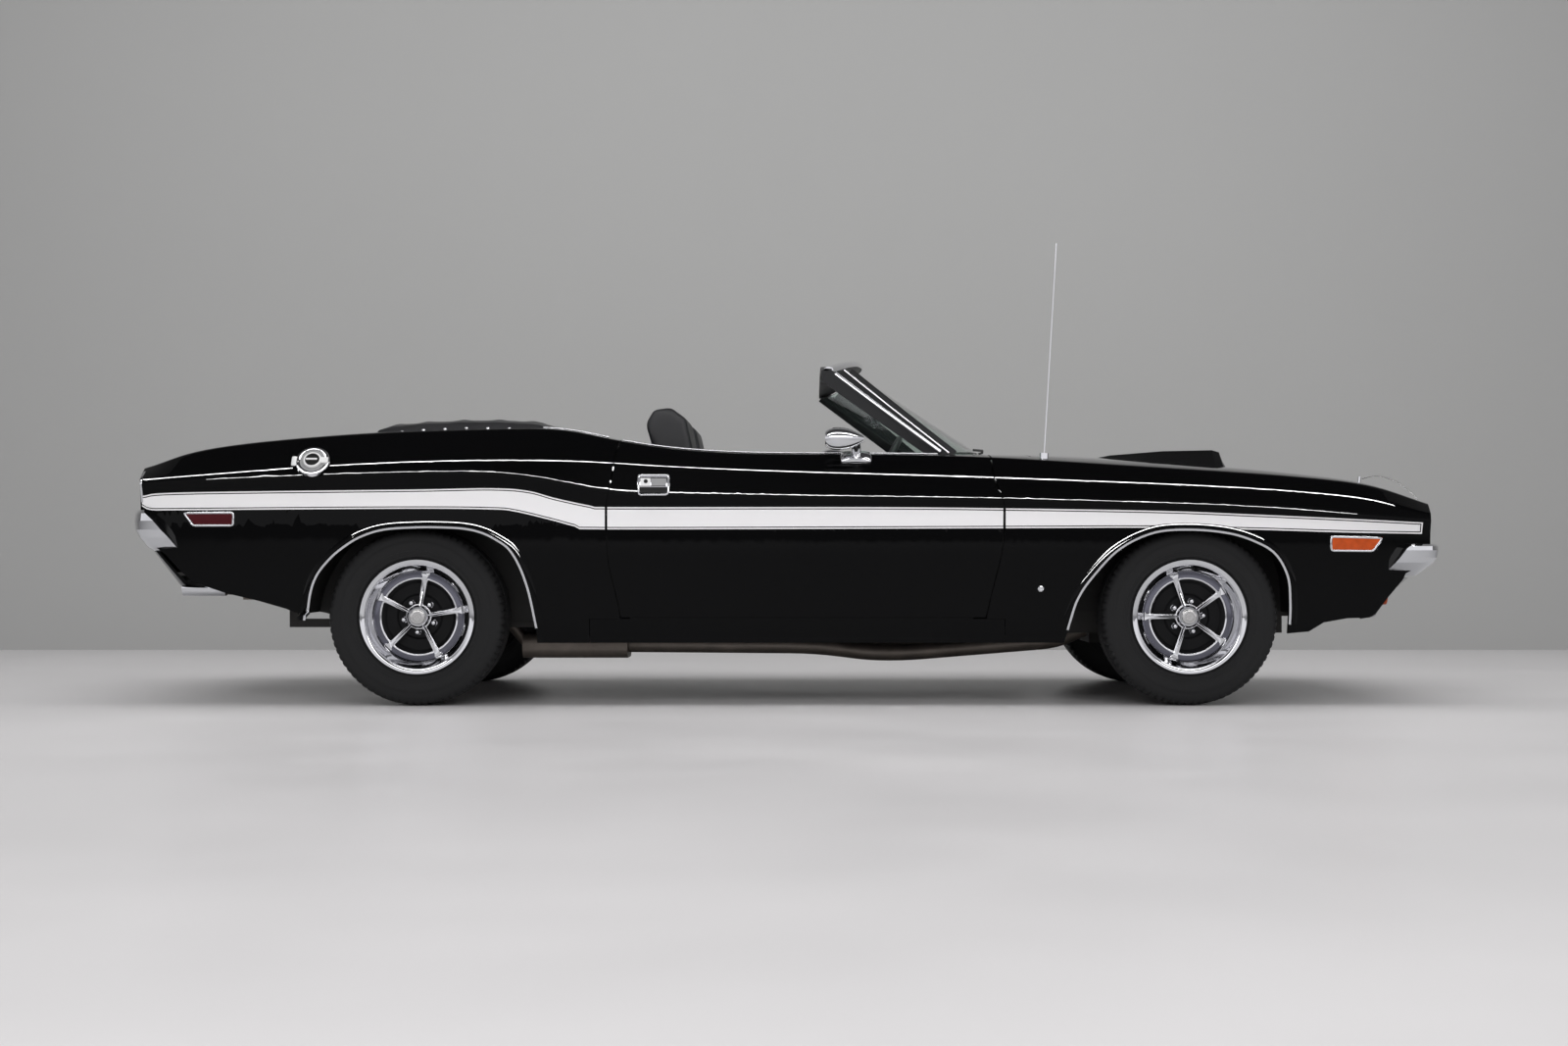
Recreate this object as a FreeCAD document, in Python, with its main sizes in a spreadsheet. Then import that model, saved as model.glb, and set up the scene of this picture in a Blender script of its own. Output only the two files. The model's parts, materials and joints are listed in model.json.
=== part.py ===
import FreeCAD, Part
import Sketcher
import math
import os
from FreeCAD import Placement, Rotation, Vector

# A two-door convertible muscle car of about 1970, top folded under its boot cover.
# Millimetres. +X points to the front of the car, +Y to its left, +Z up.
# The origin is on the ground, midway along the overall length and on the centre plane.

doc = FreeCAD.newDocument("muscle_car")
sheet = doc.addObject("Spreadsheet::Sheet", "dims")

# Driving dimensions, one cell each
DRIVING = {
    "overall_length": 4859.0,
    "wheelbase": 2794.0,
    "front_overhang": 960.0,
    "front_track": 1516.0,
    "rear_track": 1542.0,
    "widest_half": 966.0,
    "tyre_radius": 321.0,
    "tyre_width": 228.0,
    "tyre_bead_radius": 194.0,
    "rim_radius": 207.0,
    "rim_width": 190.0,
    "rim_wall": 7.0,
    "hub_radius": 36.0,
    "spoke_width": 26.0,
    "disc_radius": 150.0,
    "lug_circle": 114.3,
    "lug_radius": 12.0,
    "bearing_gap": 0.05,
    "seat_gap": 0.3,
    "spindle_radius": 17.0,
    "kingpin_half": 700.0,
    "kingpin_radius": 12.0,
    "panel_gap": 5.0,
    "skin_wall": 18.0,
    "quarter_wall": 32.0,
    "door_wall": 110.0,
    "door_skin": 22.0,
    "door_step": 20.0,
    "lid_wall": 24.0,
    "door_rear_x": -612.0,
    "door_front_x": 768.0,
    "door_bulge": 24.0,
    "door_foot_z": 318.0,
    "sill_foot_z": 228.0,
    "sill_inner_half": 745.0,
    "rear_arch_half": 407.0,
    "rear_arch_rise": 338.0,
    "front_arch_half": 384.0,
    "front_arch_back": 452.0,
    "front_arch_rise": 326.0,
    "nose_x": 2385.0,
    "nose_bow": 50.0,
    "tail_x": -2350.0,
    "tail_bow": 30.0,
    "hood_rear_x": 905.0,
    "hood_front_x": 2262.0,
    "hood_half": 735.0,
    "deck_front_x": -1530.0,
    "deck_half": 690.0,
    "well_rear_x": -1505.0,
    "cabin_front_x": 700.0,
    "cabin_half": 800.0,
    "floor_z": 250.0,
    "floor_wall": 12.0,
    "tunnel_half": 150.0,
    "tunnel_height": 180.0,
    "firewall_x": 905.0,
    "bulkhead_x": -905.0,
    "trunk_floor_z": 470.0,
    "apron_half": 470.0,
    "axle_tube_radius": 40.0,
    "spring_half": 560.0,
    "pipe_radius": 31.0,
    "lamp_radius": 67.0,
    "steering_rim_radius": 190.0,
    "antenna_height": 800.0,
    "lanyard_radius": 1.4,
}
for row, (alias, number) in enumerate(DRIVING.items(), start=1):
    sheet.set("A%d" % row, alias)
    sheet.set("B%d" % row, "%g" % number)
    sheet.setAlias("B%d" % row, alias)
doc.recompute()


def size(alias):
    """The value of a cell."""
    return float(sheet.get(alias))


half_length = size("overall_length") / 2
front_axle_x = half_length - size("front_overhang")
rear_axle_x = front_axle_x - size("wheelbase")
axle_z = size("tyre_radius")

# Lines of the body side, from tail to nose. Each is a list of (x, value).
SIDE_HALF = [(-2480, 850), (-2330, 885), (-2050, 925), (-1700, 950), (-1325, 966), (-950, 962),
             (-640, 948), (-300, 938), (100, 936), (500, 940), (800, 945), (1150, 950), (1470, 950),
             (1800, 938), (2100, 912), (2335, 872), (2480, 842)]
CREASE_Z = [(-2480, 790), (-2330, 797), (-1953, 820), (-1641, 829), (-1354, 840), (-1049, 845),
            (-915, 833), (-807, 811), (-691, 780), (-600, 766), (-300, 762), (113, 754), (767, 747),
            (892, 741), (1355, 730), (1682, 717), (1895, 701), (2183, 677), (2310, 669), (2480, 660)]
SHOULDER_Z = [(-2480, 790), (-2330, 812), (-2100, 832), (-1925, 848), (-1737, 861), (-1620, 868),
              (-1354, 884), (-875, 888), (-632, 878), (-407, 863), (104, 843), (732, 825),
              (1361, 803), (1692, 788), (1895, 772), (2072, 756), (2176, 736), (2278, 705), (2480, 670)]
EDGE_Z = [(-2480, 830), (-2302, 868), (-2168, 922), (-2035, 946), (-1857, 964), (-1641, 985),
          (-1500, 994), (-1200, 1004), (-950, 1010), (-797, 1008), (-713, 990), (-591, 959),
          (-483, 941), (-340, 925), (-247, 917), (0, 913), (640, 913), (770, 903), (900, 893),
          (1035, 886), (1289, 870), (1541, 854), (1775, 841), (1988, 821), (2064, 813),
          (2153, 796), (2195, 786), (2318, 742), (2480, 690)]
EDGE_HALF = [(-2480, 760), (-2302, 790), (-2035, 800), (-950, 797), (-640, 815), (-340, 828),
             (0, 836), (800, 845), (1470, 850), (1800, 840), (2100, 820), (2335, 788), (2480, 765)]
CROWN_RISE = [(-2480, 12), (-2035, 16), (-1641, 12), (-950, 6), (640, 8), (860, 40), (1158, 50),
              (1610, 43), (2000, 31), (2335, 26), (2480, 22)]
# Spans of the skin along the car; its control columns lie at the means of three of these
SKIN_SPANS = [-2480, -2380, -2290, -2200, -2050, -1800, -1500, -1200, -950, -800, -640, -480, -250,
              100, 450, 800, 1100, 1450, 1750, 1950, 2080, 2180, 2270, 2370, 2480]
DEGREE = 3


def along(line, x):
    """A line's value at x, straight between its points."""
    for (x0, v0), (x1, v1) in zip(line, line[1:]):
        if x <= x1:
            return v0 + (v1 - v0) * (x - x0) / (x1 - x0)
    return line[-1][1]


def half_section(x):
    """Corners (half width, z, corner size) of half the body's section at x, from the ground side up."""
    widen = size("widest_half") / 966.0
    side = along(SIDE_HALF, x) * widen
    edge = along(EDGE_HALF, x) * widen
    crease_z = along(CREASE_Z, x)
    shoulder_z = max(along(SHOULDER_Z, x), crease_z + 22)
    edge_z = max(along(EDGE_Z, x), shoulder_z + 25)
    rise = along(CROWN_RISE, x)
    lean = 28 * min(1.0, (shoulder_z - crease_z) / 80)
    foot = size("door_foot_z")
    return [
        (side - 105, foot - 170, 0),
        (side - 58, foot, 12),
        (side - 17, foot + 235, 0),
        (side - 24, crease_z - 48, 0),
        (side, crease_z, 9),
        (side - lean, shoulder_z, 10),
        (edge + 12, edge_z - 4, 12),
        (edge - 90, edge_z + 0.25 * rise + 3, 0),
        (edge * 0.5, edge_z + 0.85 * rise, 0),
        (0, edge_z + rise + 6, 0),
    ]


def section_poles(x, inset):
    """Control points (y, z) across the car at x. With an inset they lie that far inside the skin."""
    corners = half_section(x)
    poles = []
    for i, (w, z, corner) in enumerate(corners):
        before = corners[max(i - 1, 0)]
        after = corners[min(i + 1, len(corners) - 1)]
        if inset:
            run, lift = after[0] - before[0], after[1] - before[1]
            far = math.hypot(run, lift)
            if i < len(corners) - 1:
                poles.append((w - inset * lift / far, z + inset * run / far))
            else:
                poles.append((0.0, z - inset))
        elif corner:
            for other, sign in ((before, 1), (after, 1)):
                dw, dz = other[0] - w, other[1] - z
                far = math.hypot(dw, dz)
                step = min(corner, far / 3)
                poles.append((w + dw / far * step, z + dz / far * step))
                if other is before:
                    poles.append((w, z))
        else:
            poles.append((w, z))
    mirrored = [(-w, z) for w, z in poles[:-1]]
    return mirrored + [(w, z) for w, z in reversed(poles)]


def skin_face(inset):
    """One smooth face over the whole car, from one sill over the top to the other."""
    knots = [SKIN_SPANS[0]] * DEGREE + SKIN_SPANS + [SKIN_SPANS[-1]] * DEGREE
    columns = []
    for i in range(len(knots) - DEGREE - 1):
        x = sum(knots[i + 1:i + 1 + DEGREE]) / DEGREE
        columns.append([Vector(x, y, z) for y, z in section_poles(x, inset)])
    ends = [DEGREE + 1] + [1] * (len(SKIN_SPANS) - 2) + [DEGREE + 1]
    across = len(columns[0]) - DEGREE
    surface = Part.BSplineSurface()
    surface.buildFromPolesMultsKnots(
        columns, ends, [DEGREE + 1] + [1] * (across - 1) + [DEGREE + 1],
        [float(x) for x in SKIN_SPANS], [float(i) for i in range(across + 1)],
        False, False, DEGREE, DEGREE)
    return surface.toShape()


def skin_solid(inset):
    """The skin closed by a flat underside and flat ends."""
    face = skin_face(inset)
    low, tails = [], []
    for edge in face.Edges:
        box = edge.BoundBox
        (tails if box.XLength < 1 else low).append(edge)
    underside = Part.makeRuledSurface(low[0], low[1])
    caps = []
    for edge in tails:
        a, b = edge.Vertexes[0].Point, edge.Vertexes[-1].Point
        caps.append(Part.Face(Part.Wire([edge, Part.makeLine(b, a)])))
    shell = Part.makeShell([face, underside] + caps)
    shell.sewShape()
    solid = Part.makeSolid(shell)
    if solid.Volume < 0:
        solid.reverse()
    return solid


def curve(points):
    """One smooth edge through the points."""
    line = Part.BSplineCurve()
    line.interpolate([Vector(*p) for p in points])
    return line.toShape()


def side_prism(points, y0, y1, arch=None):
    """A solid between y0 and y1 with the closed side view given; arch is a smooth part that closes it."""
    edges = [Part.makeLine(Vector(a[0], y0, a[1]), Vector(b[0], y0, b[1]))
             for a, b in zip(points, points[1:] if arch else points[1:] + points[:1])]
    if arch:
        edges.append(curve([(x, y0, z) for x, z in arch]))
    return Part.Face(Part.Wire(Part.__sortEdges__(edges))).extrude(Vector(0, y1 - y0, 0))


def plan_prism(points, z0, z1):
    """A solid between z0 and z1 with the closed plan view given."""
    corners = [Vector(x, y, z0) for x, y in points]
    return Part.Face(Part.makePolygon(corners + corners[:1])).extrude(Vector(0, 0, z1 - z0))


def block(x0, x1, y0, y1, z0, z1):
    """A plain box between its limits."""
    return Part.makeBox(x1 - x0, y1 - y0, z1 - z0, Vector(x0, y0, z0))


def left_of(shape):
    """The same shape on the car's left."""
    return shape.mirror(Vector(0, 0, 0), Vector(0, 1, 0))


def both(shape):
    """The right-hand shape and its mirror image together."""
    return Part.makeCompound([shape, left_of(shape)])


def swept(path, profile):
    """A profile (outward, z) carried along a plan path (x, y) that runs from the right to the left."""
    rail = Part.Wire(curve([(x, y, 0) for x, y in path]))
    (x, y), (x_next, y_next) = path[0], path[1]
    away = Vector(x_next - x, y_next - y, 0).normalize()
    out = away.cross(Vector(0, 0, 1))
    if (out.x > 0) != (path[len(path) // 2][0] > 0):
        out = -out
    start = Vector(x, y, 0)
    corners = [start + out * n + Vector(0, 0, z) for n, z in profile]
    maker = Part.BRepOffsetAPI.MakePipeShell(rail)
    maker.setBiNormalMode(Vector(0, 0, 1))
    maker.add(Part.makePolygon(corners + corners[:1]))
    maker.build()
    maker.makeSolid()
    return maker.shape()


def mirrored_path(half):
    """A plan path from the right end to the left, from its right half that ends on the centre plane."""
    return half + [(x, -y) for x, y in reversed(half[:-1])]


nodes = []


def keep(name, shape):
    """A sub-part whose shape neither features nor primitives give."""
    if shape.ShapeType == "Compound" and len(shape.Solids) == 1:
        shape = shape.Solids[0]
    item = doc.addObject("Part::Feature", name)
    item.Label = name
    item.Shape = shape
    nodes.append(item)
    return item


gap = size("panel_gap")
wall = size("skin_wall")
skin = skin_solid(0)
lining = skin_solid(wall)
under_lid = lining.copy()
under_lid.translate(Vector(0, 0, -size("seat_gap")))

# The body's outline in plan and from the side
NOSE_SIDE = 1000.0
nose_drop = size("nose_bow") * (NOSE_SIDE / 900) ** 2
tail_drop = size("tail_bow") * (NOSE_SIDE / 900) ** 2
nose_arc = Part.Arc(Vector(size("nose_x") - nose_drop, -NOSE_SIDE, 0), Vector(size("nose_x"), 0, 0),
                    Vector(size("nose_x") - nose_drop, NOSE_SIDE, 0)).toShape()
tail_arc = Part.Arc(Vector(size("tail_x") + tail_drop, NOSE_SIDE, 0), Vector(size("tail_x"), 0, 0),
                    Vector(size("tail_x") + tail_drop, -NOSE_SIDE, 0)).toShape()
plan_sides = [Part.makeLine(nose_arc.Vertexes[-1].Point, tail_arc.Vertexes[0].Point),
              Part.makeLine(tail_arc.Vertexes[-1].Point, nose_arc.Vertexes[0].Point)]
in_plan = Part.Face(Part.Wire(Part.__sortEdges__([nose_arc, tail_arc] + plan_sides))).extrude(
    Vector(0, 0, 1400))

foot = size("sill_foot_z")
LOWER_LINE = [(-2480, 630), (-2330, 620), (-2228, 545), (-2180, 492), (-2137, 452), (-2061, 424),
              (-2012, 408), (-1892, 380), (-1791, 351), (-1764, 340), (-1708, 330), (-1663, 318),
              (-1628, 303), (-1600, foot), (1650, foot), (1829, 262), (1899, 268), (1952, 301),
              (2037, 316), (2120, 318), (2142, 330), (2188, 393), (2240, 455), (2250, 478), (2300, 505),
              (2335, 545), (2480, 550)]
in_profile = side_prism(LOWER_LINE + [(2480, 1200), (-2480, 1200)], -1000, 1000)

FRONT_ARCH = [(-424, -100), (-402, -20), (-376, 62), (-329, 137), (-232, 241), (-110, 301), (20, 313),
              (158, 301), (256, 271), (330, 226), (377, 145), (389, 50), (390, -100)]
REAR_ARCH = [(-414, -100), (-409, 28), (-396, 95), (-372, 152), (-330, 204), (-283, 245), (-215, 287),
             (-130, 313), (-17, 321), (79, 321), (159, 316), (222, 301), (277, 273), (317, 242), (352, 183),
             (380, 103), (397, 24), (408, -40), (412, -100)]
FRONT_HOUSE = [(-428, -100), (-405, -20), (-363, 105), (-275, 203), (-150, 288), (0, 326), (150, 316),
               (250, 285), (330, 235), (380, 150), (393, 50), (397, -50), (400, -100)]
REAR_HOUSE = [(-414, -100), (-408, 28), (-372, 140), (-295, 246), (-160, 318), (0, 342), (150, 328),
              (270, 276), (345, 200), (385, 120), (405, 40), (412, -39), (414, -100)]
front_arch_x = front_axle_x - 34.5
rear_arch_x = rear_axle_x + 24.5


def arch_prism(centre_x, line, y0, y1):
    """The space of a wheel arch between y0 and y1."""
    top = [(centre_x + dx, axle_z + dz) for dx, dz in line]
    return side_prism([top[-1], (top[-1][0], 100), (top[0][0], 100), top[0]], y0, y1, arch=top)


arches = [arch_prism(front_arch_x, FRONT_ARCH, -1000, -size("apron_half") - 60),
          arch_prism(rear_arch_x, REAR_ARCH, -1000, -size("apron_half") - 60)]

REAR_GAP = [(1040, -590), (961, -592), (898, -607), (866, -610), (775, -626), (717, -636), (637, -636),
            (535, -629), (444, -613), (373, -596), (318, -587), (250, -575)]
FRONT_GAP = [(1040, 748), (960, 749), (879, 751), (831, 756), (771, 776), (712, 793), (640, 793),
             (535, 780), (444, 758), (335, 734), (318, 730), (250, 715)]


def gap_prism(grow, y0, y1):
    """The door's side view grown past the middle of its gap."""
    rear = curve([(x - grow, y0, z) for z, x in REAR_GAP])
    front = curve([(x + grow, y0, z) for z, x in FRONT_GAP])
    low = Part.makeLine(rear.Vertexes[-1].Point, front.Vertexes[-1].Point)
    high = Part.makeLine(rear.Vertexes[0].Point, front.Vertexes[0].Point)
    tall = Part.Face(Part.Wire(Part.__sortEdges__([rear, low, front, high]))).extrude(
        Vector(0, y1 - y0, 0))
    return tall.cut(block(-1000, 1000, y0 - 1, y1 + 1, 200, size("door_foot_z") - grow))


# Doors: an outer skin with a deeper box behind it, stepped in all round so that it swings clear
cabin = size("cabin_half")
right_of_cabin = block(-2480, 2480, -1000, -cabin, 0, 1200)
door_space = gap_prism(-gap / 2, -1000, -cabin)
door_core = gap_prism(-gap / 2 - size("door_step"), -1000, -cabin)
door = skin.common(door_space)
door_rim = lining.common(door_space).cut(door_core)
door = door.cut(door_rim)
keep("door_right", door)
keep("door_left", left_of(door))

# The frame round each door opening, shared out between fender, quarter and sill
opening = gap_prism(gap / 2, -1000, 0)
jamb = lining.common(gap_prism(size("door_step") + 16, -1000, -cabin - 4)).cut(
    gap_prism(-size("door_step") + 14, -1000, 0))
outer_shell = skin.cut(lining).common(in_plan).common(in_profile).cut(opening)
for arch in arches:
    outer_shell = outer_shell.cut(arch)

# Bumpers swept round the corners
FRONT_BUMPER_PATH = [(2172, -918), (2230, -914), (2290, -903), (2335, -882), (2372, -834), (2394, -700),
                     (2418, -400), (2429.5, 0)]
front_bumper = swept(mirrored_path(FRONT_BUMPER_PATH), [
    (0, 562), (-1, 577), (-10, 584), (-44, 584), (-42, 560), (-50, 530), (-66, 500), (-92, 478),
    (-90, 471), (-80, 470), (-60, 484), (-35, 503), (-16, 518), (-5, 535)])
front_bumper = front_bumper.cut(side_prism([(2150, 460), (2177, 482), (2241, 569), (2272, 590), (2150, 600)],
                                           -1000, 1000))
keep("front_bumper", front_bumper)
REAR_BUMPER_PATH = [(-2165, -934), (-2240, -929), (-2310, -903), (-2352, -835), (-2385, -700), (-2418, -400),
                    (-2429.5, 0)]
rear_bumper = swept(mirrored_path(REAR_BUMPER_PATH), [
    (0, 668), (-3, 695), (-12, 707), (-50, 707), (-48, 650), (-52, 610), (-82, 570), (-82, 561),
    (-72, 558), (-45, 575), (-18, 608), (-3, 636)])
rear_bumper = rear_bumper.cut(side_prism([
    (-2150, 550), (-2179, 562), (-2212, 611), (-2264, 670), (-2300, 700), (-2300, 720), (-2150, 720)],
    -1000, 1000))
right_half = rear_bumper.common(block(-2480, -2100, -1000, 0, 400, 900))
rear_bumper = right_half.fuse(left_of(right_half))
keep("rear_bumper", rear_bumper)

# Fenders
hood_half = size("hood_half")
sill_top = size("door_foot_z") - gap / 2
fender_space = block(500, 2480, -1000, -hood_half - gap / 2, 0, 1200)
fender = outer_shell.common(fender_space)
fender = fender.fuse(jamb.common(block(500, 1000, -1000, -cabin - 4, sill_top + 4, 900)))
fender = fender.cut(block(500, 800, -1000, 0, 0, sill_top)).cut(front_bumper).removeSplitter()
fender = max(fender.Solids, key=lambda s: s.Volume)
keep("fender_right", fender)
keep("fender_left", left_of(fender))

# Rear quarters, open on top over the folded roof and the boot lid
deck_half = size("deck_half")
well = plan_prism([(-2600, -deck_half - gap / 2), (-1530, -deck_half - gap / 2), (-1500, -745),
                   (-400, -745), (-400, 0), (-2600, 0)], 560, 1200)
quarter = outer_shell.common(block(-2480, -400, -1000, -500, 0, 1200)).cut(well)
quarter = quarter.fuse(jamb.common(block(-1000, -400, -1000, -cabin - 4, sill_top + 4, 960)))
quarter = quarter.cut(block(-700, -400, -1000, 0, 0, sill_top)).cut(rear_bumper).removeSplitter()
quarter = max(quarter.Solids, key=lambda s: s.Volume)
CAP_AT = Vector(-1687, -922, 876)
CAP_OUT = Vector(0, -0.839, 0.545).normalize()
cap_seat = Part.makeCylinder(66, 60, CAP_AT - CAP_OUT * 5, CAP_OUT)
keep("quarter_right", quarter.cut(cap_seat))
keep("quarter_left", left_of(quarter))

# Sills under the doors
sill = skin.common(block(-698, 798, -1000, -size("sill_inner_half"), foot, sill_top - 1))
sill_lip = block(-560, 690, -cabin + size("seat_gap"), -cabin + 25, sill_top - 20, 352)
sill = sill.fuse(sill_lip).removeSplitter()
keep("sills", both(sill))

# Hood with its twin scoops
hood_rear = size("hood_rear_x") + gap / 2
hood_front = size("hood_front_x")
hood_plan = plan_prism([(hood_rear, -hood_half + gap / 2), (hood_front - 30, -hood_half + gap / 2),
                        (hood_front - 10, -400), (hood_front, 0), (hood_front - 10, 400),
                        (hood_front - 30, hood_half - gap / 2), (hood_rear, hood_half - gap / 2)],
                       500, 1200)
hood = skin.cut(lining).common(hood_plan)
SCOOP_TOP = [(1130, 903), (1250, 926), (1450, 942), (1640, 946), (1668, 938), (1694, 874)]
scoop = Part.makeLoft([Part.makePolygon([Vector(x, -470, 850), Vector(x, -325, z), Vector(x, -155, z),
                                         Vector(x, -60, 850), Vector(x, -470, 850)]) for x, z in SCOOP_TOP],
                      True, True)
scoop = scoop.cut(side_prism([(1500, 905), (1500, 932), (1700, 934), (1700, 905)], -312, -168))
hood = hood.fuse(scoop.cut(lining)).fuse(left_of(scoop.cut(lining))).removeSplitter()
keep("hood", hood)

# The panel over the grille and the one between hood and windshield
seam_half = hood_half + gap / 2 - size("seat_gap")
nose_panel = skin.cut(lining).common(in_plan).common(plan_prism(
    [(hood_front - 20, -seam_half), (hood_front, -400), (hood_front + 10, 0), (hood_front, 400),
     (hood_front - 20, seam_half), (2480, seam_half), (2480, -seam_half)], 500, 1200))
keep("nose_panel", nose_panel)
GLASS_FOOT = [(602, 742), (690, 560), (745, 300), (770, 0)]
cowl_plan = plan_prism(
    [(x - 25, -y) for x, y in GLASS_FOOT] + [(x - 25, y) for x, y in reversed(GLASS_FOOT[:-1])]
    + [(580, cabin - 8), (746, cabin - 8), (746, seam_half), (size("hood_rear_x") - gap / 2, seam_half),
       (size("hood_rear_x") - gap / 2, -seam_half), (746, -seam_half), (746, -cabin + 8),
       (580, -cabin + 8)], 500, 1200)
cowl = skin.cut(lining).common(cowl_plan)
keep("cowl", cowl)

# Boot lid
deck_front = size("deck_front_x")
deck = skin.cut(lining).common(in_plan).common(
    block(-2480, deck_front, -deck_half + gap / 2, deck_half - gap / 2, 500, 1200))
keep("decklid", deck)


def primitive(kind, name, sizes, place=None):
    """A primitive with its sizes bound to cells or to plain figures."""
    item = doc.addObject("Part::" + kind, name)
    for prop, value in sizes.items():
        if isinstance(value, str):
            item.setExpression(prop, value)
        else:
            setattr(item, prop, value)
    if place:
        for prop, value in zip(("x", "y", "z"), place):
            item.setExpression("Placement.Base." + prop, str(value))
    return item


def box_item(name, x0, x1, y0, y1, z0, z1):
    """A box whose limits are expressions or figures."""
    return primitive("Box", name, {"Length": "(%s) - (%s)" % (x1, x0), "Width": "(%s) - (%s)" % (y1, y0),
                                   "Height": "(%s) - (%s)" % (z1, z0)}, (x0, y0, z0))


def rod_item(name, radius, length, place, direction):
    """A cylinder from a place along a direction."""
    item = primitive("Cylinder", name, {"Radius": radius, "Height": length}, place)
    item.Placement.Rotation = Rotation(Vector(0, 0, 1), Vector(*direction))
    return item


def joined(name, items):
    """Primitives fused into one sub-part."""
    item = doc.addObject("Part::MultiFuse", name)
    item.Label = name
    item.Shapes = items
    nodes.append(item)
    return item


def together(name, items):
    """Primitives kept side by side in one sub-part."""
    item = doc.addObject("Part::Compound", name)
    item.Label = name
    item.Links = items
    nodes.append(item)
    return item


def lessened(name, base, tool):
    """A sub-part with a piece taken out."""
    item = doc.addObject("Part::Cut", name)
    item.Label = name
    item.Base = base
    item.Tool = tool
    return item


def sketch_in(owner, plane, name):
    """A sketch on a plane of its own body."""
    sketch = owner.newObject("Sketcher::SketchObject", name)
    sketch.AttachmentSupport = [(next(f for f in owner.Origin.OriginFeatures if f.Role == plane), "")]
    sketch.MapMode = "FlatFace"
    return sketch


def closed_outline(sketch, points):
    """Straight sides through the points, each corner bound to an expression pair or a figure pair."""
    first = sketch.GeometryCount
    n = len(points)
    plain = [tuple(float(sheet.evalExpression(str(v))) for v in p) for p in points]
    for i in range(n):
        a, b = plain[i], plain[(i + 1) % n]
        sketch.addGeometry(Part.LineSegment(Vector(a[0], a[1], 0), Vector(b[0], b[1], 0)), False)
    for i in range(n):
        sketch.addConstraint(Sketcher.Constraint("Coincident", first + i, 2, first + (i + 1) % n, 1))
    for i, point in enumerate(points):
        for kind, value, number in zip(("DistanceX", "DistanceY"), point, plain[i]):
            index = sketch.addConstraint(Sketcher.Constraint(kind, -1, 1, first + i, 1, number))
            if isinstance(value, str):
                sketch.setExpression("Constraints[%d]" % index, value)


def revolved(owner, name, points, kind="PartDesign::Revolution"):
    """An outline (along the axle, from the axle) turned about the body's Y axis."""
    sketch = sketch_in(owner, "YZ_Plane", name + "_outline")
    closed_outline(sketch, points)
    item = owner.newObject(kind, name)
    item.Profile = sketch
    item.ReferenceAxis = (next(f for f in owner.Origin.OriginFeatures if f.Role == "Y_Axis"), [""])
    item.Angle = 360
    return item


# Wheels: the rim's outside faces away from the car, along its own -Y
FRONT_X = "dims.overall_length / 2 - dims.front_overhang"
REAR_X = "dims.overall_length / 2 - dims.front_overhang - dims.wheelbase"
CORNERS = {
    "front_right": (FRONT_X, "-dims.front_track / 2", 0, 19),
    "front_left": (FRONT_X, "dims.front_track / 2", 180, 30),
    "rear_right": (REAR_X, "-dims.rear_track / 2", 0, -9),
    "rear_left": (REAR_X, "dims.rear_track / 2", 180, 12),
}
RIM = "dims.rim_radius"
INNER = "dims.rim_radius - dims.rim_wall"
BARREL = [(-95, RIM), (-90, RIM), (-88, RIM + " - 9.3"), (-64, RIM + " - 9.3"), (-42, RIM + " - 36"),
          (30, RIM + " - 36"), (56, RIM + " - 9.3"), (88, RIM + " - 9.3"), (90, RIM), (95, RIM),
          (95, INNER + " - 12"), (60, INNER + " - 15"), (34, INNER + " - 36"), (-46, INNER + " - 36"),
          (-70, INNER + " - 15"), (-95, INNER + " - 12")]
HUB = "dims.hub_radius"
BORE = "dims.spindle_radius + dims.bearing_gap"
DISC = [(-20, BORE), (-20, HUB + " + 4"), (-26, HUB + " + 4"), (-26, RIM + " - 40"), (-34, RIM + " - 40"),
        (-34, HUB + " + 8"), (-58, HUB + " + 6"), (-60, HUB), (-84, HUB + " - 2"), (-90, HUB + " - 12"),
        (-92, 0), (-56, 0), (-56, BORE)]
CROWN = "dims.tyre_radius"
SIDE = "dims.tyre_width / 2"
TREAD_SIDE = [(58, CROWN), ("%s - 20" % SIDE, CROWN + " - 5"), ("%s - 7" % SIDE, CROWN + " - 18"),
              (SIDE, CROWN + " - 48"), ("%s - 3" % SIDE, RIM + " + 30"), (87, RIM + " + 3"),
              (87, RIM + " - 9"), (64, RIM + " - 9"), ("%s - 16" % SIDE, CROWN + " - 42")]
TYRE = TREAD_SIDE + [("-(%s)" % y, r) for y, r in reversed(TREAD_SIDE)]


def standing(item, corner):
    """Puts a wheel part at its corner of the car."""
    x, y, turn, spoke_turn = CORNERS[corner]
    item.setExpression("Placement.Base.x", x)
    item.setExpression("Placement.Base.y", y)
    item.setExpression("Placement.Base.z", CROWN)
    item.Placement.Rotation = Rotation(Vector(0, 0, 1), turn) * Rotation(Vector(0, -1, 0), spoke_turn)


def five_round(owner, name, feature):
    """Repeats a feature five times about the axle."""
    item = owner.newObject("PartDesign::PolarPattern", name)
    item.Originals = [feature]
    item.Axis = (next(f for f in owner.Origin.OriginFeatures if f.Role == "Y_Axis"), [""])
    item.Angle = 360
    item.Occurrences = 5
    owner.Tip = item
    return item


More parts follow.
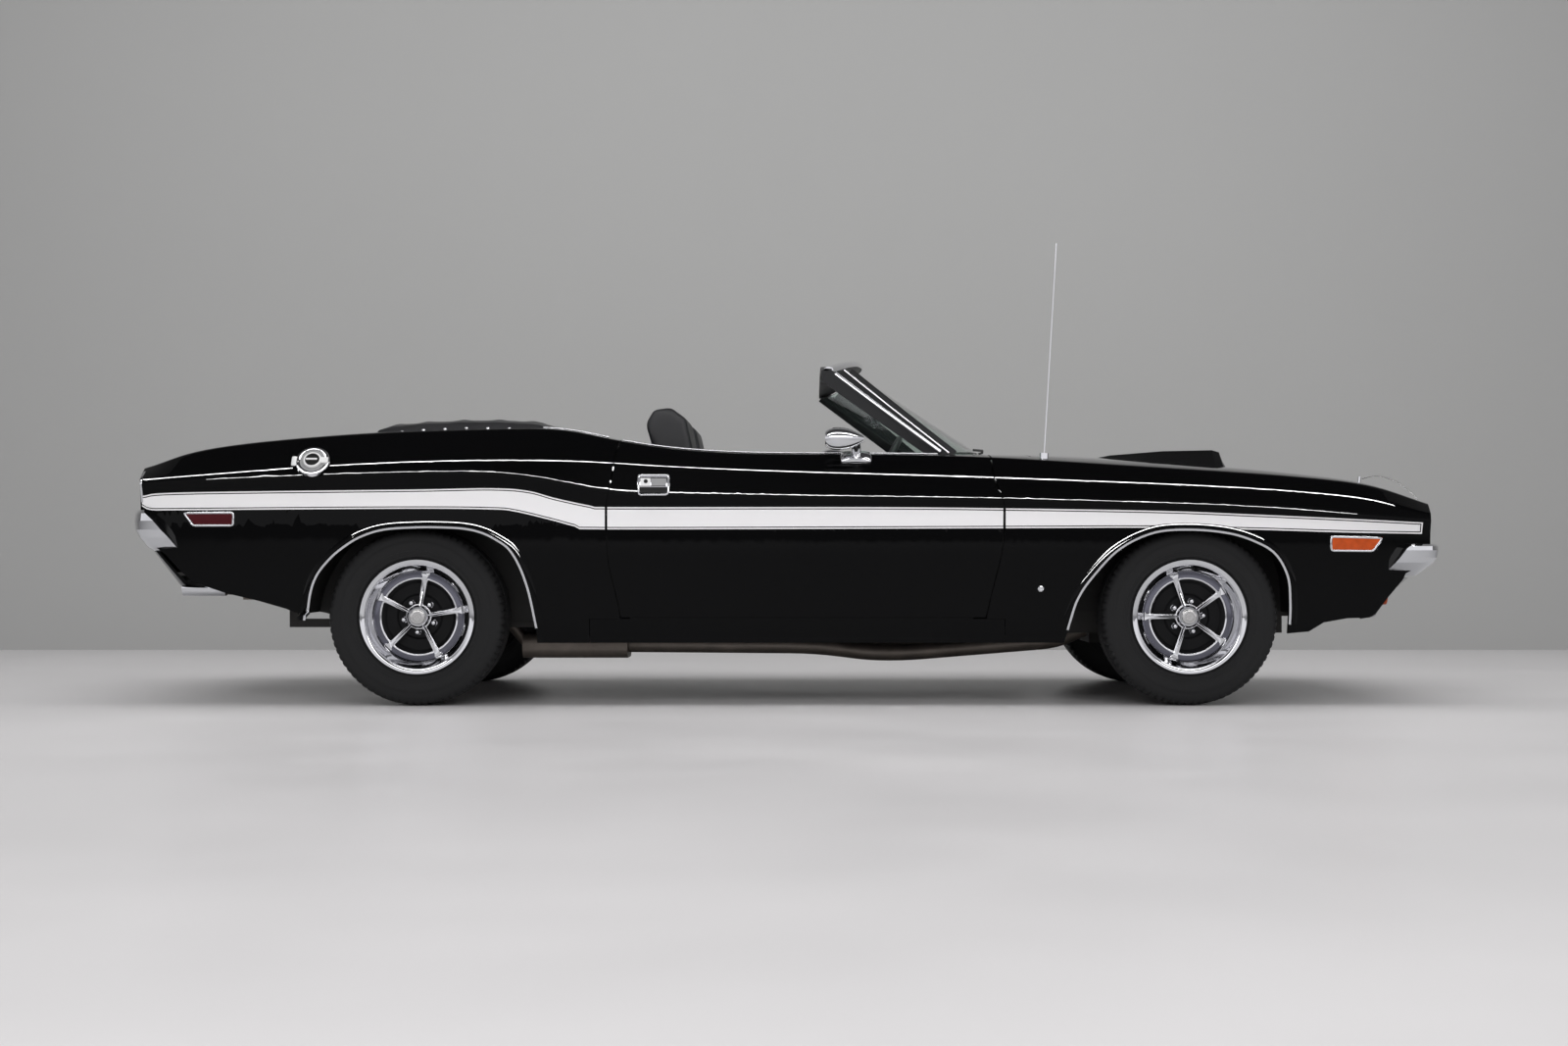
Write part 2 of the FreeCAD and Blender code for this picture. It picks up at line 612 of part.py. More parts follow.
for corner in CORNERS:
    rim = doc.addObject("PartDesign::Body", "rim_" + corner)
    rim.Label = "rim_" + corner
    revolved(rim, "barrel_" + corner, BARREL)
    revolved(rim, "disc_" + corner, DISC)
    spoke_sketch = sketch_in(rim, "XZ_Plane", "spoke_outline_" + corner)
    spoke_sketch.AttachmentOffset = Placement(Vector(0, 0, 30), Rotation())
    closed_outline(spoke_sketch, [(-24, 38), (-17, 95), (-26, RIM + " - 38"), (26, RIM + " - 38"),
                                  (17, 95), (24, 38)])
    spoke = rim.newObject("PartDesign::Pad", "spoke_" + corner)
    spoke.Profile = spoke_sketch
    spoke.Length = 30
    five_round(rim, "spokes_" + corner, spoke)
    nut_sketch = sketch_in(rim, "XZ_Plane", "nut_outline_" + corner)
    nut_sketch.AttachmentOffset = Placement(Vector(0, 0, 30), Rotation())
    nut_sketch.addGeometry(Part.Circle(Vector(0, -57, 0), Vector(0, 0, 1), 11), False)
    nut_sketch.addConstraint(Sketcher.Constraint("Radius", 0, 11))
    nut_sketch.setExpression("Constraints[0]", "dims.lug_radius - 1")
    nut_sketch.addConstraint(Sketcher.Constraint("DistanceX", -1, 1, 0, 3, 0))
    nut_sketch.addConstraint(Sketcher.Constraint("DistanceY", 0, 3, -1, 1, 57))
    nut_sketch.setExpression("Constraints[2]", "dims.lug_circle / 2")
    nut = rim.newObject("PartDesign::Pad", "nut_" + corner)
    nut.Profile = nut_sketch
    nut.Length = 28
    five_round(rim, "nuts_" + corner, nut)
    standing(rim, corner)
    nodes.append(rim)
    tyre = doc.addObject("PartDesign::Body", "tyre_" + corner)
    tyre.Label = "tyre_" + corner
    revolved(tyre, "carcass_" + corner, TYRE)
    standing(tyre, corner)
    nodes.append(tyre)

# Knuckles that turn about their kingpins with the front wheels
KINGPIN = "dims.kingpin_half"
for side, sign in (("right", -1), ("left", 1)):
    low, high = sorted((sign * 27, sign * -27))
    upright = box_item("upright_" + side, FRONT_X + " - 30", FRONT_X + " + 30",
                       "%d * %s + %d" % (sign, KINGPIN, low), "%d * %s + %d" % (sign, KINGPIN, high),
                       CROWN + " - 78", CROWN + " + 78")
    spindle = rod_item("spindle_" + side, "dims.spindle_radius",
                       "dims.front_track / 2 + 48 - dims.kingpin_half",
                       (FRONT_X, "%d * %s" % (sign, KINGPIN), CROWN), (0, sign, 0))
    drum = rod_item("drum_" + side, 128, 28,
                    (FRONT_X, "%d * (%s + 42)" % (sign, KINGPIN), CROWN), (0, sign, 0))
    boss = rod_item("boss_" + side, 45, 30, (FRONT_X, "%d * (%s + 20)" % (sign, KINGPIN), CROWN), (0, sign, 0))
    body = doc.addObject("Part::MultiFuse", "knuckle_body_" + side)
    body.Shapes = [upright, spindle, drum, boss]
    bore = rod_item("kingpin_bore_" + side, "dims.kingpin_radius + dims.bearing_gap", 170,
                    (FRONT_X, "%d * %s" % (sign, KINGPIN), CROWN + " - 85"), (0, 0, 1))
    nodes.append(lessened("knuckle_" + side, body, bore))

# Front subframe: rails, crossmember, engine mounts, arms and kingpins
subframe = [box_item("crossmember", FRONT_X + " - 55", FRONT_X + " + 55", -450, 450, 190, 250)]
for side, sign in (("right", -1), ("left", 1)):
    low, high = sorted((sign * 370, sign * 470))
    subframe.append(box_item("rail_" + side, "dims.hood_rear_x - 25 + dims.floor_wall", 1880, low, high,
                             "dims.floor_z", 330))
    low, high = sorted((sign * 370, sign * 457.7))
    subframe.append(box_item("rail_horn_" + side, 1840, 2149.7, low, high, 313, 372))
    low, high = sorted((sign * 180, sign * 250))
    subframe.append(box_item("engine_mount_" + side, FRONT_X + " - 40", FRONT_X + " + 40",
                             low, high, 250, 299.7))
    low, high = ("-%s - 18" % KINGPIN, -440) if sign < 0 else (440, KINGPIN + " + 18")
    subframe.append(box_item("lower_arm_" + side, FRONT_X + " - 26", FRONT_X + " + 26", low, high,
                             CROWN + " - 112", CROWN + " - 83"))
    low, high = ("-%s - 18" % KINGPIN, -448) if sign < 0 else (448, KINGPIN + " + 18")
    subframe.append(box_item("upper_arm_" + side, FRONT_X + " - 20", FRONT_X + " + 20", low, high,
                             CROWN + " + 83", CROWN + " + 103"))
    subframe.append(box_item("tower_" + side, FRONT_X + " - 45", FRONT_X + " + 45",
                             -457.7 if sign < 0 else 410, -410 if sign < 0 else 457.7, 320, 560))
    subframe.append(rod_item("kingpin_" + side, "dims.kingpin_radius", 215,
                             (FRONT_X, "%d * %s" % (sign, KINGPIN), CROWN + " - 112"), (0, 0, 1)))
joined("front_subframe", subframe)

# Rear axle on leaf springs
tube = rod_item("axle_tube", "dims.axle_tube_radius", "dims.rear_track - 92",
                (REAR_X, "-dims.rear_track / 2 + 46", CROWN), (0, 1, 0))
middle = primitive("Sphere", "differential", {"Radius": 125}, (REAR_X, 0, CROWN))
axle_parts = [tube, middle]
for side, sign in (("right", -1), ("left", 1)):
    axle_parts.append(rod_item("rear_drum_" + side, 135, 50, (
        REAR_X, "%d * dims.rear_track / 2 - %d" % (sign, 62 * sign), CROWN), (0, sign, 0)))
    axle_parts.append(rod_item("stub_" + side, "dims.spindle_radius", 100, (
        REAR_X, "%d * dims.rear_track / 2 - %d" % (sign, 54 * sign), CROWN), (0, sign, 0)))
    low, high = sorted((sign * 528, sign * 588))
    axle_parts.append(box_item("leaf_" + side, REAR_X + " - 520",
                               "dims.bulkhead_x - dims.floor_wall - dims.seat_gap", low, high, 275, 305))
    axle_parts.append(box_item("rear_hanger_" + side, REAR_X + " - 520", REAR_X + " - 490", low, high, 275,
                               "dims.trunk_floor_z - dims.seat_gap"))
joined("rear_axle", axle_parts)

# Floor, firewall, bulkhead, boot floor and wheel houses
floor = size("floor_z")
sheet_metal = size("floor_wall")
fire_x = size("hood_rear_x") - 25
back_x = size("bulkhead_x")
pan = block(back_x, fire_x, -740, 740, floor, floor + sheet_metal)
pan = pan.fuse(block(-490, fire_x + sheet_metal, -size("tunnel_half"), size("tunnel_half"), floor,
                     floor + size("tunnel_height")))
for y in (-590, -240, 215, 565):
    pan = pan.fuse(block(-360, 180, y, y + 25, floor, 300 - size("seat_gap")))
pan = pan.fuse(block(fire_x, fire_x + sheet_metal, -740, 740, floor, 1200).common(lining))
pan = pan.fuse(block(back_x - sheet_metal, back_x, -740, 740, floor, 900))
pan = pan.cut(block(-478, fire_x + 20, -size("tunnel_half") + 12, size("tunnel_half") - 12,
                    floor - 1, floor + size("tunnel_height") - sheet_metal))


def house_space(centre_x, line, scale, y0, y1):
    """The room under a wheel house of the scale given."""
    return arch_prism(centre_x, [(dx * scale, dz * scale) for dx, dz in line], y0, y1)


rear_space = house_space(rear_arch_x, REAR_HOUSE, 1.07, -1000, -600)
rear_space = rear_space.fuse(left_of(rear_space))
keep("floor_pan", pan.cut(rear_space).removeSplitter())


def wheel_house(centre_x, line, grow, inner_y):
    """A thin box over a wheel, open below and outward, reaching the skin."""
    def grown(scale, y1):
        points = [(dx * scale, max(dz, -95) * scale) for dx, dz in line]
        return arch_prism(centre_x, points, -1000, y1)
    return grown(grow + 0.03, -inner_y).cut(grown(grow, -inner_y - sheet_metal)).cut(
        block(-2500, 2500, -1000, 0, 0, floor + sheet_metal + 40)).common(lining)


# Valances under the bumpers
front_valance = swept(mirrored_path([(2246, -845), (2300, -700), (2345, -400), (2360, 0)]), [
    (0, 462), (-8, 462), (-92, 392), (-128, 326), (-160, 318), (-155, 312), (-120, 318), (-82, 390)])
front_valance = max(front_valance.cut(skin.cut(lining)).Solids, key=lambda s: s.Volume)
rear_valance = swept(mirrored_path([(-2236, -893), (-2264, -845), (-2316, -600), (-2338, -300), (-2343, 0)]), [
    (0, 560), (8, 558), (-84, 434), (-92, 438)])
rear_valance = max(rear_valance.cut(skin.cut(lining)).Solids, key=lambda s: s.Volume)
keep("front_valance", max(front_valance.cut(front_bumper).Solids, key=lambda s: s.Volume))
for y in (-700, 700):
    rear_valance = rear_valance.cut(Part.makeCylinder(36, 250, Vector(-2330, y, 422), Vector(1, 0, 0)))
rear_valance = max(rear_valance.cut(rear_bumper).Solids, key=lambda s: s.Volume)
keep("rear_valance", rear_valance)

trunk_z = size("trunk_floor_z")
house = wheel_house(rear_arch_x, REAR_HOUSE, 1.04, 600).common(in_profile)
trunk = block(-2290, back_x - sheet_metal, -900, 900, trunk_z, trunk_z + sheet_metal).common(lining).cut(
    rear_valance)
corner_space = block(-2300, -2200, -1000, -825, 0, 900)
trunk = trunk.cut(corner_space).cut(left_of(corner_space))
tight_space = house_space(rear_arch_x, REAR_HOUSE, 1.055, -1000, -606)
trunk = max(trunk.Solids, key=lambda s: s.Volume).cut(tight_space).cut(left_of(tight_space))
trunk = trunk.fuse(house).fuse(left_of(house))
trunk = trunk.cut(block(rear_axle_x - 60, rear_axle_x + 60, -700, 700, 0, axle_z + 90)).removeSplitter()
keep("trunk_floor", max(trunk.Solids, key=lambda s: s.Volume))

apron = size("apron_half")
front_house = wheel_house(front_arch_x, FRONT_HOUSE, 1.12, apron - sheet_metal)
front_house = front_house.cut(block(0, 2500, -1000, -apron + sheet_metal, 0, 330))
apron_wall = block(fire_x + sheet_metal, 2150, -apron, -apron + sheet_metal, 330, 780)
arm_window = block(front_axle_x - 26, front_axle_x + 26, -apron - 10, 0, 398, 428)
inner_fender = front_house.fuse(apron_wall).cut(arm_window).common(in_profile).removeSplitter()
keep("inner_fenders", both(max(inner_fender.Solids, key=lambda s: s.Volume)))
support = block(2150, 2165, -700, 700, 344, 735).cut(block(2100, 2200, -330, 330, 400, 690))
core = block(2110, 2149, -345, 345, 385, 705)
rests = [Part.makeCylinder(14, 200, Vector(2157, y, 700), Vector(0, 0, 1)).common(under_lid)
         for y in (-620, 620)]
keep("radiator", support.fuse(core.fuse(block(2149, 2150, -345, 345, 385, 705))).fuse(rests).removeSplitter())

# Engine and gearbox as one plain block at their real place
engine = box_item("engine_block", 1130, 1800, -260, 260, 300, 730)
gearbox = box_item("gearbox", 330, "1130", -110, 110, 262, 400)
sump = box_item("sump", 1190, 1390, -150, 150, 200, 300)
joined("engine_and_gearbox", [engine, gearbox, sump])
nodes.append(box_item("fuel_tank", -2080, -1740, -330, 330, 372, "dims.trunk_floor_z - dims.seat_gap"))

# Windshield: two pillars and a header, and the glass between them
HEADER = [(165, 620, 1236), (222, 470, 1258), (258, 310, 1274), (282, 150, 1283), (290, 0, 1286)]
PILLAR_FOOT = [(602, 742, 925), (690, 560, 934), (745, 300, 941), (770, 0, 945)]


def full_arc(half, dx=0.0, dz=0.0):
    """A curve across the car from its left half, shifted."""
    points = [(x + dx, -y, z + dz) for x, y, z in half]
    points += [(x + dx, y, z + dz) for x, y, z in reversed(half[:-1])]
    return points


header_sections = []
for x, y, z in full_arc(HEADER):
    header_sections.append(Part.makePolygon([
        Vector(x + 14, y, z), Vector(x - 12, y, z + 2), Vector(138, y, z - 8), Vector(138, y, z - 32),
        Vector(x - 8, y, z - 30), Vector(x + 14, y, z)]))
frame = Part.makeLoft(header_sections, True, False)


def pillar(sign):
    """One windshield pillar, leaning back and in."""
    rings = []
    for x, y, z, wide, deep, drop in ((612, 768, 905, 30, 80, 0), (400, 702, 1066, 31, 29, 44),
                                      (166, 628, 1236, 34, 29, 44)):
        rings.append(Part.makePolygon([
            Vector(x + 4, sign * y, z), Vector(x - deep, sign * (y - 2), z - drop),
            Vector(x - deep, sign * (y - wide), z - drop), Vector(x - 6, sign * (y - wide), z - drop / 3.3),
            Vector(x + 4, sign * y, z)]))
    return Part.makeLoft(rings, True, True)


frame = frame.fuse(pillar(1)).fuse(pillar(-1)).removeSplitter().cut(cowl)
frame = max(frame.Solids, key=lambda s: s.Volume)
keep("windshield_frame", frame)
glass_low = curve(full_arc([(x, y - 14, z) for x, y, z in PILLAR_FOOT[:1]] + PILLAR_FOOT[1:], -6, -6))
glass_high = curve(full_arc([(x, y - 26 if y > 600 else y, z) for x, y, z in HEADER], -4, -34))
glass = Part.makeRuledSurface(glass_low, glass_high).extrude(Vector(-5, 0, -4))
glass = glass.cut(frame).cut(skin)
keep("windshield_glass", max(glass.Solids, key=lambda s: s.Volume))

# Instrument panel with the steering column
panel = side_prism([(700, 905), (600, 912), (575, 900), (560, 860), (575, 740), (610, 660), (690, 640),
                    (700, 700)], -730, 730)
hump = side_prism([(700, 905), (600, 912), (545, 945), (520, 940), (505, 890), (560, 830), (700, 800)],
                  200, 540)
wheel_x, wheel_z, driver_y = 405.0, 838.0, 370.0
COLUMN_TILT = math.radians(28)
column_way = Vector(math.cos(COLUMN_TILT), 0, -math.sin(COLUMN_TILT))
hub_point = Vector(wheel_x, driver_y, wheel_z)
column = Part.makeCylinder(28, 330, hub_point + column_way * 35, column_way)
panel = panel.fuse(hump).fuse(column).cut(cowl).removeSplitter()
keep("dashboard", panel)
rim_ring = Part.makeTorus(size("steering_rim_radius"), 13, hub_point - column_way * 30, column_way)
spokes = Part.makeCylinder(30, 57 - size("seat_gap"), hub_point - column_way * 22, column_way)
for angle in (-90, 30, 150):
    arm = block(0, size("steering_rim_radius") - 4, -12, 12, -4, 4)
    arm.rotate(Vector(0, 0, 0), Vector(0, 0, 1), angle)
    arm.Placement = Placement(hub_point - column_way * 25, Rotation(Vector(0, 0, 1), -column_way)).multiply(
        arm.Placement)
    spokes = spokes.fuse(arm)
keep("steering_wheel", rim_ring.fuse(spokes).removeSplitter())


def seat_item(name, outline, y0, y1, round_by):
    """A seat padded from its side view."""
    owner = doc.addObject("PartDesign::Body", name)
    sketch = sketch_in(owner, "XZ_Plane", name + "_side")
    closed_outline(sketch, outline)
    pad = owner.newObject("PartDesign::Pad", name + "_pad")
    pad.Profile = sketch
    pad.Length = y1 - y0
    fillet = owner.newObject("PartDesign::Fillet", name + "_edges")
    fillet.Base = (pad, [""])
    fillet.UseAllEdges = True
    fillet.Radius = round_by
    owner.Placement.Base = Vector(0, y1, 0)
    return owner


SEAT_SIDE = [(220, 300), (225, 440), (190, 505), (-170, 470), (-250, 500), (-330, 900), (-362, 1050),
             (-420, 1092), (-485, 1085), (-515, 1030), (-470, 880), (-395, 500), (-400, 300)]
together("front_seats", [seat_item("seat_right", SEAT_SIDE, -640, -110 - 60, 16),
                         seat_item("seat_left", SEAT_SIDE, 170, 640, 16)])
BENCH_SIDE = [(-530, 262.3), (-500, 430), (-540, 470), (-740, 430), (-800, 500), (-860, 860), (-904.7, 880),
              (-904.7, 262.3)]
bench = seat_item("rear_seat", BENCH_SIDE, -585, 585, 14)
nodes.append(bench)
console = seat_item("console", [(330, 430.3), (300, 560), (250, 580), (-250, 560), (-270, 430.3)], -95, 95, 10)
nodes.append(console)

trim_panel = block(back_x + 5, -560, -740, -700, floor + sheet_metal, 890).common(lining).cut(
    house_space(rear_arch_x, REAR_HOUSE, 1.085, -1000, -600))
keep("cabin_trim", both(trim_panel))

# Folded top under its cover, with five soft bows
boot_rows = []
BOOT = [(-1518, 992), (-1490, 1016), (-1430, 1030), (-1300, 1040), (-1150, 1046), (-1000, 1044),
        (-900, 1036), (-840, 1016), (-812, 960)]
for x, z in BOOT:
    half = 744.7 if x > -1515 else 700.0
    boot_rows.append(Part.makePolygon([
        Vector(x, -half, z - 45), Vector(x, -half * 0.96, z - 14), Vector(x, -half * 0.8, z),
        Vector(x, 0, z + 12), Vector(x, half * 0.8, z), Vector(x, half * 0.96, z - 14),
        Vector(x, half, z - 45), Vector(x, half, z - 60), Vector(x, -half, z - 60), Vector(x, -half, z - 45)]))
boot = Part.makeLoft(boot_rows, True, True).cut(quarter).cut(left_of(quarter))
keep("top_boot", max(boot.Solids, key=lambda s: s.Volume))

# Grille, lamps and markers
front_back = swept(mirrored_path([(2256, -850), (2300, -600), (2325, -300), (2332, 0)]), [
    (0, 588), (0, 706), (-8, 706), (-8, 588)])
bars = []
for z in (600, 625, 650, 675, 700):
    bars.append(swept(mirrored_path([(2272, -810), (2306, -600), (2331, -300), (2338, 0)]), [
        (0, z), (0, z + 5), (-10, z + 5), (-10, z)]))
LAMPS = [(2290, -690, 652), (2310, -535, 652)]
lamp_hole = size("lamp_radius") - 6 + size("seat_gap")
lamp_cases = [Part.makeCylinder(lamp_hole, 90, Vector(x - 40, y, z), Vector(1, 0, 0))
              for x, y, z in LAMPS]
grille = front_back
for shape in bars:
    grille = grille.fuse(shape)
for shape in lamp_cases:
    grille = grille.cut(shape.fuse(left_of(shape)))
grille = grille.cut(fender).cut(left_of(fender)).cut(nose_panel)
keep("grille", max(grille.removeSplitter().Solids, key=lambda s: s.Volume))
lamps = []
for x, y, z in LAMPS:
    lens = Part.makeSphere(150, Vector(x - 110, y, z)).common(
        Part.makeCylinder(size("lamp_radius") - 6, 60, Vector(x - 6, y, z), Vector(1, 0, 0)))
    lamps += [lens, left_of(lens)]
keep("headlamps", Part.makeCompound(lamps))
tail_plate = swept(mirrored_path([(-2300, -812), (-2325, -600), (-2340, -300), (-2346, 0)]), [
    (0, 590), (0, 880), (-8, 880), (-8, 590)])
tail_plate = tail_plate.common(lining.common(under_lid)).cut(rear_bumper).cut(rear_valance)
red = swept([(-2311, -780), (-2330, -560), (-2345, -330), (-2350, -170)],
            [(0, 738), (0, 802), (-8, 802), (-8, 738)])
white = block(-2360, -2340, -150, 150, 738, 802)
tail_plate = tail_plate.cut(red).cut(left_of(red)).cut(white)
keep("tail_panel", max(tail_plate.Solids, key=lambda s: s.Volume))
red_marker = skin.common(block(-2218, -2034, -1000, -700, 652, 697)).cut(lining)
keep("tail_lamps", Part.makeCompound([red, left_of(red)]))
keep("reverse_lamp", white)
mast = rod_item("antenna_mast", 2.5, "dims.antenna_height - 14", (948, -790, 896), (46, 0, 790))
base = rod_item("antenna_base", 16, 30, (947, -790, 886), (46, 0, 790))
antenna_whole = doc.addObject("Part::MultiFuse", "antenna_whole")
antenna_whole.Shapes = [mast, base]
antenna_whole.recompute(True)
keep("antenna", max(antenna_whole.Shape.cut(skin).Solids, key=lambda s: s.Volume))


def bulge(x0, x1, z0, z1, thick, rear_notch=0.0, front_notch=0.0):
    """A lens on the right flank that follows the skin and stands proud of it."""
    outline = [(x0, z1), (x1, z1), (x1 - front_notch, z0), (x0 + rear_notch, z0)]
    proud = side_prism(outline, -1000, -700).common(lining)
    proud.translate(Vector(0, -wall - thick, 0))
    return proud.cut(skin)


amber = bulge(1969, 2158, 561, 608, 5, front_notch=34)
signal = Part.makeCylinder(42, 44, Vector(2205, -560, 400), Vector(1, 0, 0)).cut(front_valance)
signal = max(signal.Solids, key=lambda s: s.BoundBox.XMax)
side_lens = max(amber.Solids, key=lambda s: s.Volume)
keep("amber_lamps", Part.makeCompound([side_lens, left_of(side_lens), signal, left_of(signal)]))
red_side = max(bulge(-2159, -1976, 652, 696, 5, rear_notch=35).Solids, key=lambda s: s.Volume)
keep("side_marker_lamps", both(red_side))

# Door furniture: bullet mirror and flush pull
stalk = Part.makeCone(20, 14, 80, Vector(262, -842, 900), Vector(0, -0.72, 0.69))
foot_plate = Part.makeCylinder(24, 12, Vector(235, -832, 903), Vector(0, -0.35, 0.93))
for x in (262, 289):
    foot_plate = foot_plate.fuse(Part.makeCylinder(24, 12, Vector(x, -832, 903), Vector(0, -0.35, 0.93)))
SHELL = [(150, 26), (172, 38), (205, 40.5), (240, 34), (270, 21), (289, 9)]
head = Part.makeLoft([Part.Wire(Part.makeCircle(radius, Vector(x, -905, 963), Vector(1, 0, 0)))
                      for x, radius in SHELL], True)
mirror = head.fuse(stalk.cut(skin)).fuse(foot_plate.cut(skin)).removeSplitter()
pull = bulge(-523, -408, 762, 831, 4)
door_trim = Part.makeCompound([max(mirror.Solids, key=lambda s: s.Volume),
                               max(pull.Solids, key=lambda s: s.Volume)])
keep("door_trim_right", door_trim)
keep("door_trim_left", left_of(door_trim))

# Flip-up filler cap in its seat on the right rear quarter
cap = Part.makeCylinder(60, 12, CAP_AT, CAP_OUT).fuse(Part.makeCylinder(30, 8, CAP_AT + CAP_OUT * 12, CAP_OUT))
keep("fuel_cap", cap.removeSplitter())
neck = Part.makeCylinder(54, 30 - size("seat_gap"), CAP_AT - CAP_OUT * 30, CAP_OUT).cut(
    skin.common(block(-1800, -1600, -1000, -700, 700, 1000)).cut(cap_seat))
keep("fuel_neck", max(neck.Solids, key=lambda s: s.BoundBox.YMin * -1))

# Hood pins and their free lanyards
PIN_X, PIN_Y = 2150.0, 560.0
pin_z = along(EDGE_Z, PIN_X) + along(CROWN_RISE, PIN_X) * 0.45
pin = Part.makeCylinder(22, 8, Vector(PIN_X, -PIN_Y, pin_z - 4), Vector(0.12, 0, 1)).fuse(
    Part.makeCylinder(6, 30, Vector(PIN_X, -PIN_Y, pin_z - 2), Vector(0.12, 0, 1)))
keep("hood_pins", both(pin.cut(hood).Solids[0]))


def cord_tube(points, radius):
    """A free cord: straight runs joined by arcs that touch them."""
    edges, last = [], points[0]
    for before, corner, after in zip(points, points[1:], points[2:]):
        a, b = (corner - before), (after - corner)
        half_turn = math.acos(max(-1, min(1, a.dot(b) / a.Length / b.Length))) / 2
        bend = 0.45 * min(a.Length, b.Length) / math.tan(half_turn)
        cut = bend * math.tan(half_turn)
        enter, leave = corner - a.normalize() * cut, corner + b.normalize() * cut
        to_middle = (leave - corner) * 0.5 + (enter - corner) * 0.5
        centre = corner + to_middle.normalize() * (bend / math.cos(half_turn))
        middle = centre + (corner - centre).normalize() * bend
        edges += [Part.makeLine(last, enter), Part.Arc(enter, middle, leave).toShape()]
        last = leave
    edges.append(Part.makeLine(last, points[-1]))
    rail = Part.Wire(edges)
    start = Part.Wire(Part.makeCircle(radius, points[0], points[1] - points[0]))
    return rail.makePipeShell([start], True, True)


LANYARD = [(PIN_X + 9.4, PIN_Y, pin_z + 18), (2200, 566, 842), (2250, 572, 834), (2298, 578, 812),
           (2340, 584, 778), (2374, 588, 738), (2392, 590, 688), (2396, 590, 636), (2390, 588, 606)]
for side, sign in (("right", -1), ("left", 1)):
    keep("hood_lanyard_" + side, cord_tube([Vector(x, sign * y, z) for x, y, z in LANYARD],
                                           size("lanyard_radius")))

# Exhaust: a pipe, a flat muffler and a tip on each side
pipe = size("pipe_radius")
half_exhaust = cord_tube([Vector(1150, -285, 260), Vector(1040, -290, 214), Vector(470, -300, 168),
                         Vector(330, -305, 168), Vector(120, -330, 196), Vector(-600, -400, 205)], pipe)
muffler = block(-985, -590, -520, -300, 156, floor - size("seat_gap"))
muffler = muffler.makeFillet(40, [e for e in muffler.Edges if e.BoundBox.XLength > 300])
half_exhaust = half_exhaust.fuse(muffler)
half_exhaust = half_exhaust.fuse(cord_tube([
    Vector(-970, -420, 205), Vector(-1080, -440, 330), Vector(-1200, -470, 415), Vector(-1450, -470, 415),
    Vector(-1875, -475, 405), Vector(-1960, -560, 412), Vector(-2080, -697, 422)], 22))
tip = Part.makeCylinder(27, 155, Vector(-2210, -700, 422), Vector(1, 0, 0)).cut(
    Part.makeCylinder(23.5, 60, Vector(-2210, -700, 422), Vector(1, 0, 0)))
half_exhaust = half_exhaust.fuse(tip)
keep("exhaust", both(half_exhaust.removeSplitter()))

doc.recompute()
for item in doc.Objects:
    if "Invalid" in item.State or "Error" in item.State:
        raise ValueError("%s has not recomputed" % item.Label)
    if item.isDerivedFrom("Part::Feature") and (item.Shape.isNull() or not item.Shape.isValid()):
        raise ValueError("%s has no sound shape" % item.Label)

os.makedirs("parts", exist_ok=True)
for item in nodes:
    item.Shape.exportStep("parts/%s.step" % item.Label)
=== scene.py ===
# Two-door convertible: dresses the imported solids, lights them and sets the camera
import json
import math

import bmesh
import bpy
from mathutils import Matrix, Vector
from mathutils.bvhtree import BVHTree

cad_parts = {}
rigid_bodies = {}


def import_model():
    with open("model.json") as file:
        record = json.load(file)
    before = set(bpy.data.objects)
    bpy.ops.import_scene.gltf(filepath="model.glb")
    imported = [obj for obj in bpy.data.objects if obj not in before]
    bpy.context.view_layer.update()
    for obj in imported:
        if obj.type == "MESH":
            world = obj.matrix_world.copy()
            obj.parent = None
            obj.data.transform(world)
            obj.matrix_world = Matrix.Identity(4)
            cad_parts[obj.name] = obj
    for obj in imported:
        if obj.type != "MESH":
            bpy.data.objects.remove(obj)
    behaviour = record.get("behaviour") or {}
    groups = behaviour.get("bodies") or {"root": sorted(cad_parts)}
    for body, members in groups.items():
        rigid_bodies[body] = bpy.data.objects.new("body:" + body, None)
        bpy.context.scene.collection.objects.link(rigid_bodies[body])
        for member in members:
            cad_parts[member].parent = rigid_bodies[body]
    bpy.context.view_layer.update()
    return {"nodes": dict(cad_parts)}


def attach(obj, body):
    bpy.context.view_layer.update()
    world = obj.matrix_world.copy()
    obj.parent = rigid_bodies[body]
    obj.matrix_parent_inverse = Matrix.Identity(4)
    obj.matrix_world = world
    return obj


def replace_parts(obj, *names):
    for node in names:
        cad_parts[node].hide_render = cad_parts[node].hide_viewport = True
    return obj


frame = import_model()
nodes = frame["nodes"]
scene = bpy.context.scene
print("frame loaded:", len(nodes), "nodes")

upright = Vector((0, 0, 1))
axleWay = (0, -1, 0)


def mm(*values):
    return Vector([v / 1000 for v in values])


def smoothLine(points, step):
    # Catmull-Rom through points of any number of values, sampled about every step
    points = [Vector(p) for p in points]
    ends = [points[0] * 2 - points[1]] + points + [points[-1] * 2 - points[-2]]
    line = []
    for a, b, c, d in zip(ends, ends[1:], ends[2:], ends[3:]):
        count = max(1, round((c - b).length / step))
        for i in range(count):
            t = i / count
            line.append(0.5 * (2 * b + (c - a) * t + (2 * a - 5 * b + 4 * c - d) * t * t
                               + (3 * b - a - 3 * c + d) * t ** 3))
    return line + [points[-1]]


def valueAt(line, x):
    # z of an (x, z) line at x
    for (xa, za), (xb, zb) in zip(line, line[1:]):
        if x <= xb:
            return za + (zb - za) * (x - xa) / max(xb - xa, 1e-9)
    return line[-1][1]


